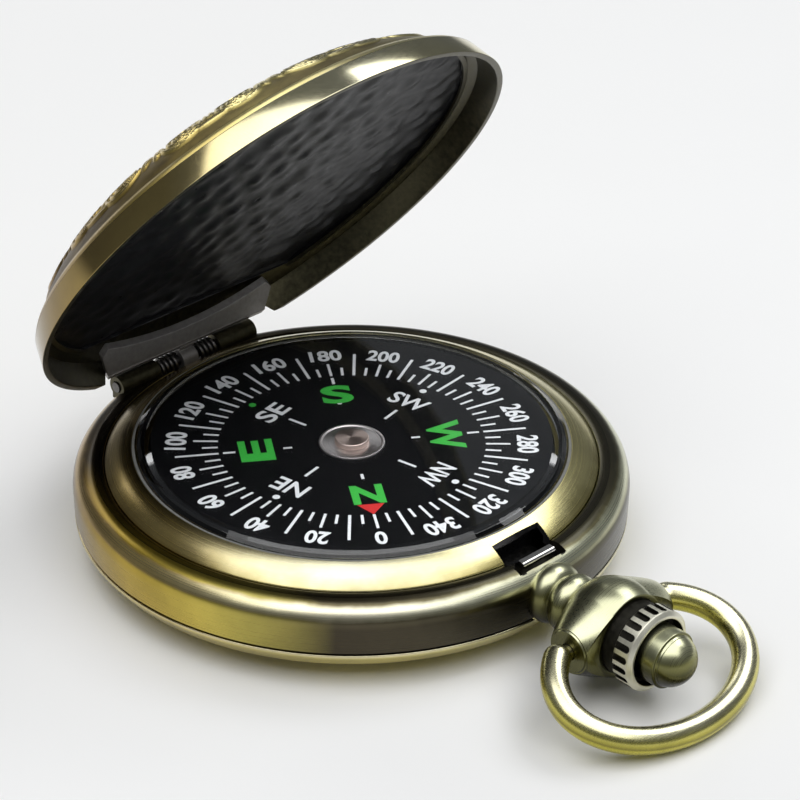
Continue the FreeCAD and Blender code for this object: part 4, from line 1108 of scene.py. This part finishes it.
# -------- hinge and catch
def hinge_and_catch():
    """Hinge leaves and catch, with their sharp CAD edges rounded by the given widths."""
    pieces = [
        ("case_hinge_leaf", "hinge_leaf_case", 0.05, "case", "dark_bronze", DARK_BRONZE),
        ("lid_hinge_leaf", "hinge_leaf_lid", 0.09, "lid", "dark_steel", PLATE_STEEL),
        ("catch_lever", "catch_spring_hook", 0.06, "catch", "dark_steel", BRIGHT_STEEL),
    ]
    for node, name, width, body, slot_name, material in pieces:
        piece = dress(softened(node, name, width), material)
        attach(piece, body)


KEPT = (   # CAD pieces that are carried as they are
    (GASKET_CLEAR, ["crystal_gasket"]),
    (CAPSULE_BLACK, ["capsule_cup"]),
    (CARD_BLACK, ["compass_card"]),
    (RUBY, ["pivot_jewel"]),
    (BRIGHT_METAL, ["pivot_post"]),
    (DARK_BRONZE, ["lid_lining_ring"]),
    (DARK_STEEL, ["hinge_pin", "hinge_spring_left", "hinge_spring_right"]),
    (BRIGHT_STEEL, ["pivot_pin", "card_magnet_left", "card_magnet_right"]),
    (BRIGHT_STEEL, ["button_stem", "button_spring", "catch_screw"]),
)

for build in (case_body, back_cover, bezel, crystal, pendant_neck, crown, button, bow):
    piece, body_name, node_name, slot_name = build()
    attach(piece, body_name)
    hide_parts(node_name)
dial_marks()
dial_words()
hub()
lid()
hinge_and_catch()
for material, node_names in KEPT:
    for node_name in node_names:
        dress(frame["nodes"][node_name], material)


# -------- stage, light and camera
def floor():
    """A plain pale floor just below the object."""
    size, gap = 3000, 0.02
    material, tree, shader = new_material("floor_paper", roughness=0.9)
    grain = noise(tree, 0.02, 3)
    tree.links.new(ramp(tree, grain, [(0.3, 0.895), (0.7, 0.905)]), shader.inputs["Base Color"])
    corners = [(-size, -size, 0), (size, -size, 0), (size, size, 0), (-size, size, 0)]
    plane = make_object("floor", corners, [(0, 1, 2, 3)])
    plane.location.z = -gap * MM
    dress(plane, material)


def toward(azimuth, elevation):
    """Direction to a place round the object; azimuth 0 is behind a camera that looks along +Y."""
    a, e = radians(azimuth), radians(elevation)
    return Vector((sin(a) * cos(e), -cos(a) * cos(e), sin(e)))


def softbox(name, azimuth, elevation, distance, width, height, power, color=(1, 1, 1)):
    """A rectangular area light that looks at the middle of the object; power is in watts."""
    target = Vector((0, 0, 8 * MM))
    data = bpy.data.lights.new(name, "AREA")
    data.shape = "RECTANGLE"
    data.size = width * MM
    data.size_y = height * MM
    data.energy = power
    data.color = color
    lamp = add(name, data)
    way = toward(azimuth, elevation)
    lamp.location = way * distance * MM + target
    lamp.rotation_mode = "QUATERNION"
    lamp.rotation_quaternion = (-way).to_track_quat("-Z", "Y")


def sky(strength, color):
    """An even studio surround."""
    world = bpy.data.worlds.new("studio")
    world.use_nodes = True
    put(world.node_tree.nodes["Background"], Color=(*color, 1), Strength=strength)
    bpy.context.scene.world = world


def camera():
    """The camera at the reference view: front-left of the case, looking a little down."""
    elevation, roll = radians(30.58), radians(0.63)
    distance, shift_right, shift_up, lens, sensor = 268.95, 4.26, 4.08, 135.1, 36
    heading = Vector((-0.6952, -0.7188, 0))
    right = Vector(ACROSS).normalized()
    back = heading.normalized() * cos(elevation) + Vector((0, 0, sin(elevation)))
    up = back.cross(right).normalized()
    data = bpy.data.cameras.new("view")
    data.lens = lens
    data.sensor_width = sensor
    data.clip_start = 0.01
    data.clip_end = 20
    eye = add("view", data)
    x_axis = right * cos(roll) + up * sin(roll)
    y_axis = up * cos(roll) - right * sin(roll)
    place = Vector((0, 0, CARD_TOP)) + back * distance + right * shift_right + up * shift_up
    turn = Matrix((x_axis, y_axis, back)).transposed().to_4x4()
    eye.matrix_world = Matrix.Translation(place * MM) @ turn
    bpy.context.scene.camera = eye


floor()
sky(0.13, (0.92, 0.96, 1.0))
softbox("top", -44, 72, 500, 760, 520, 2.5)
softbox("main", 84, 53, 500, 320, 220, 0.72, (0.98, 0.99, 1.0))
softbox("back", 166, 36, 480, 300, 200, 0.36, (1.0, 0.99, 0.95))
camera()
bpy.context.scene.view_settings.view_transform = "Standard"
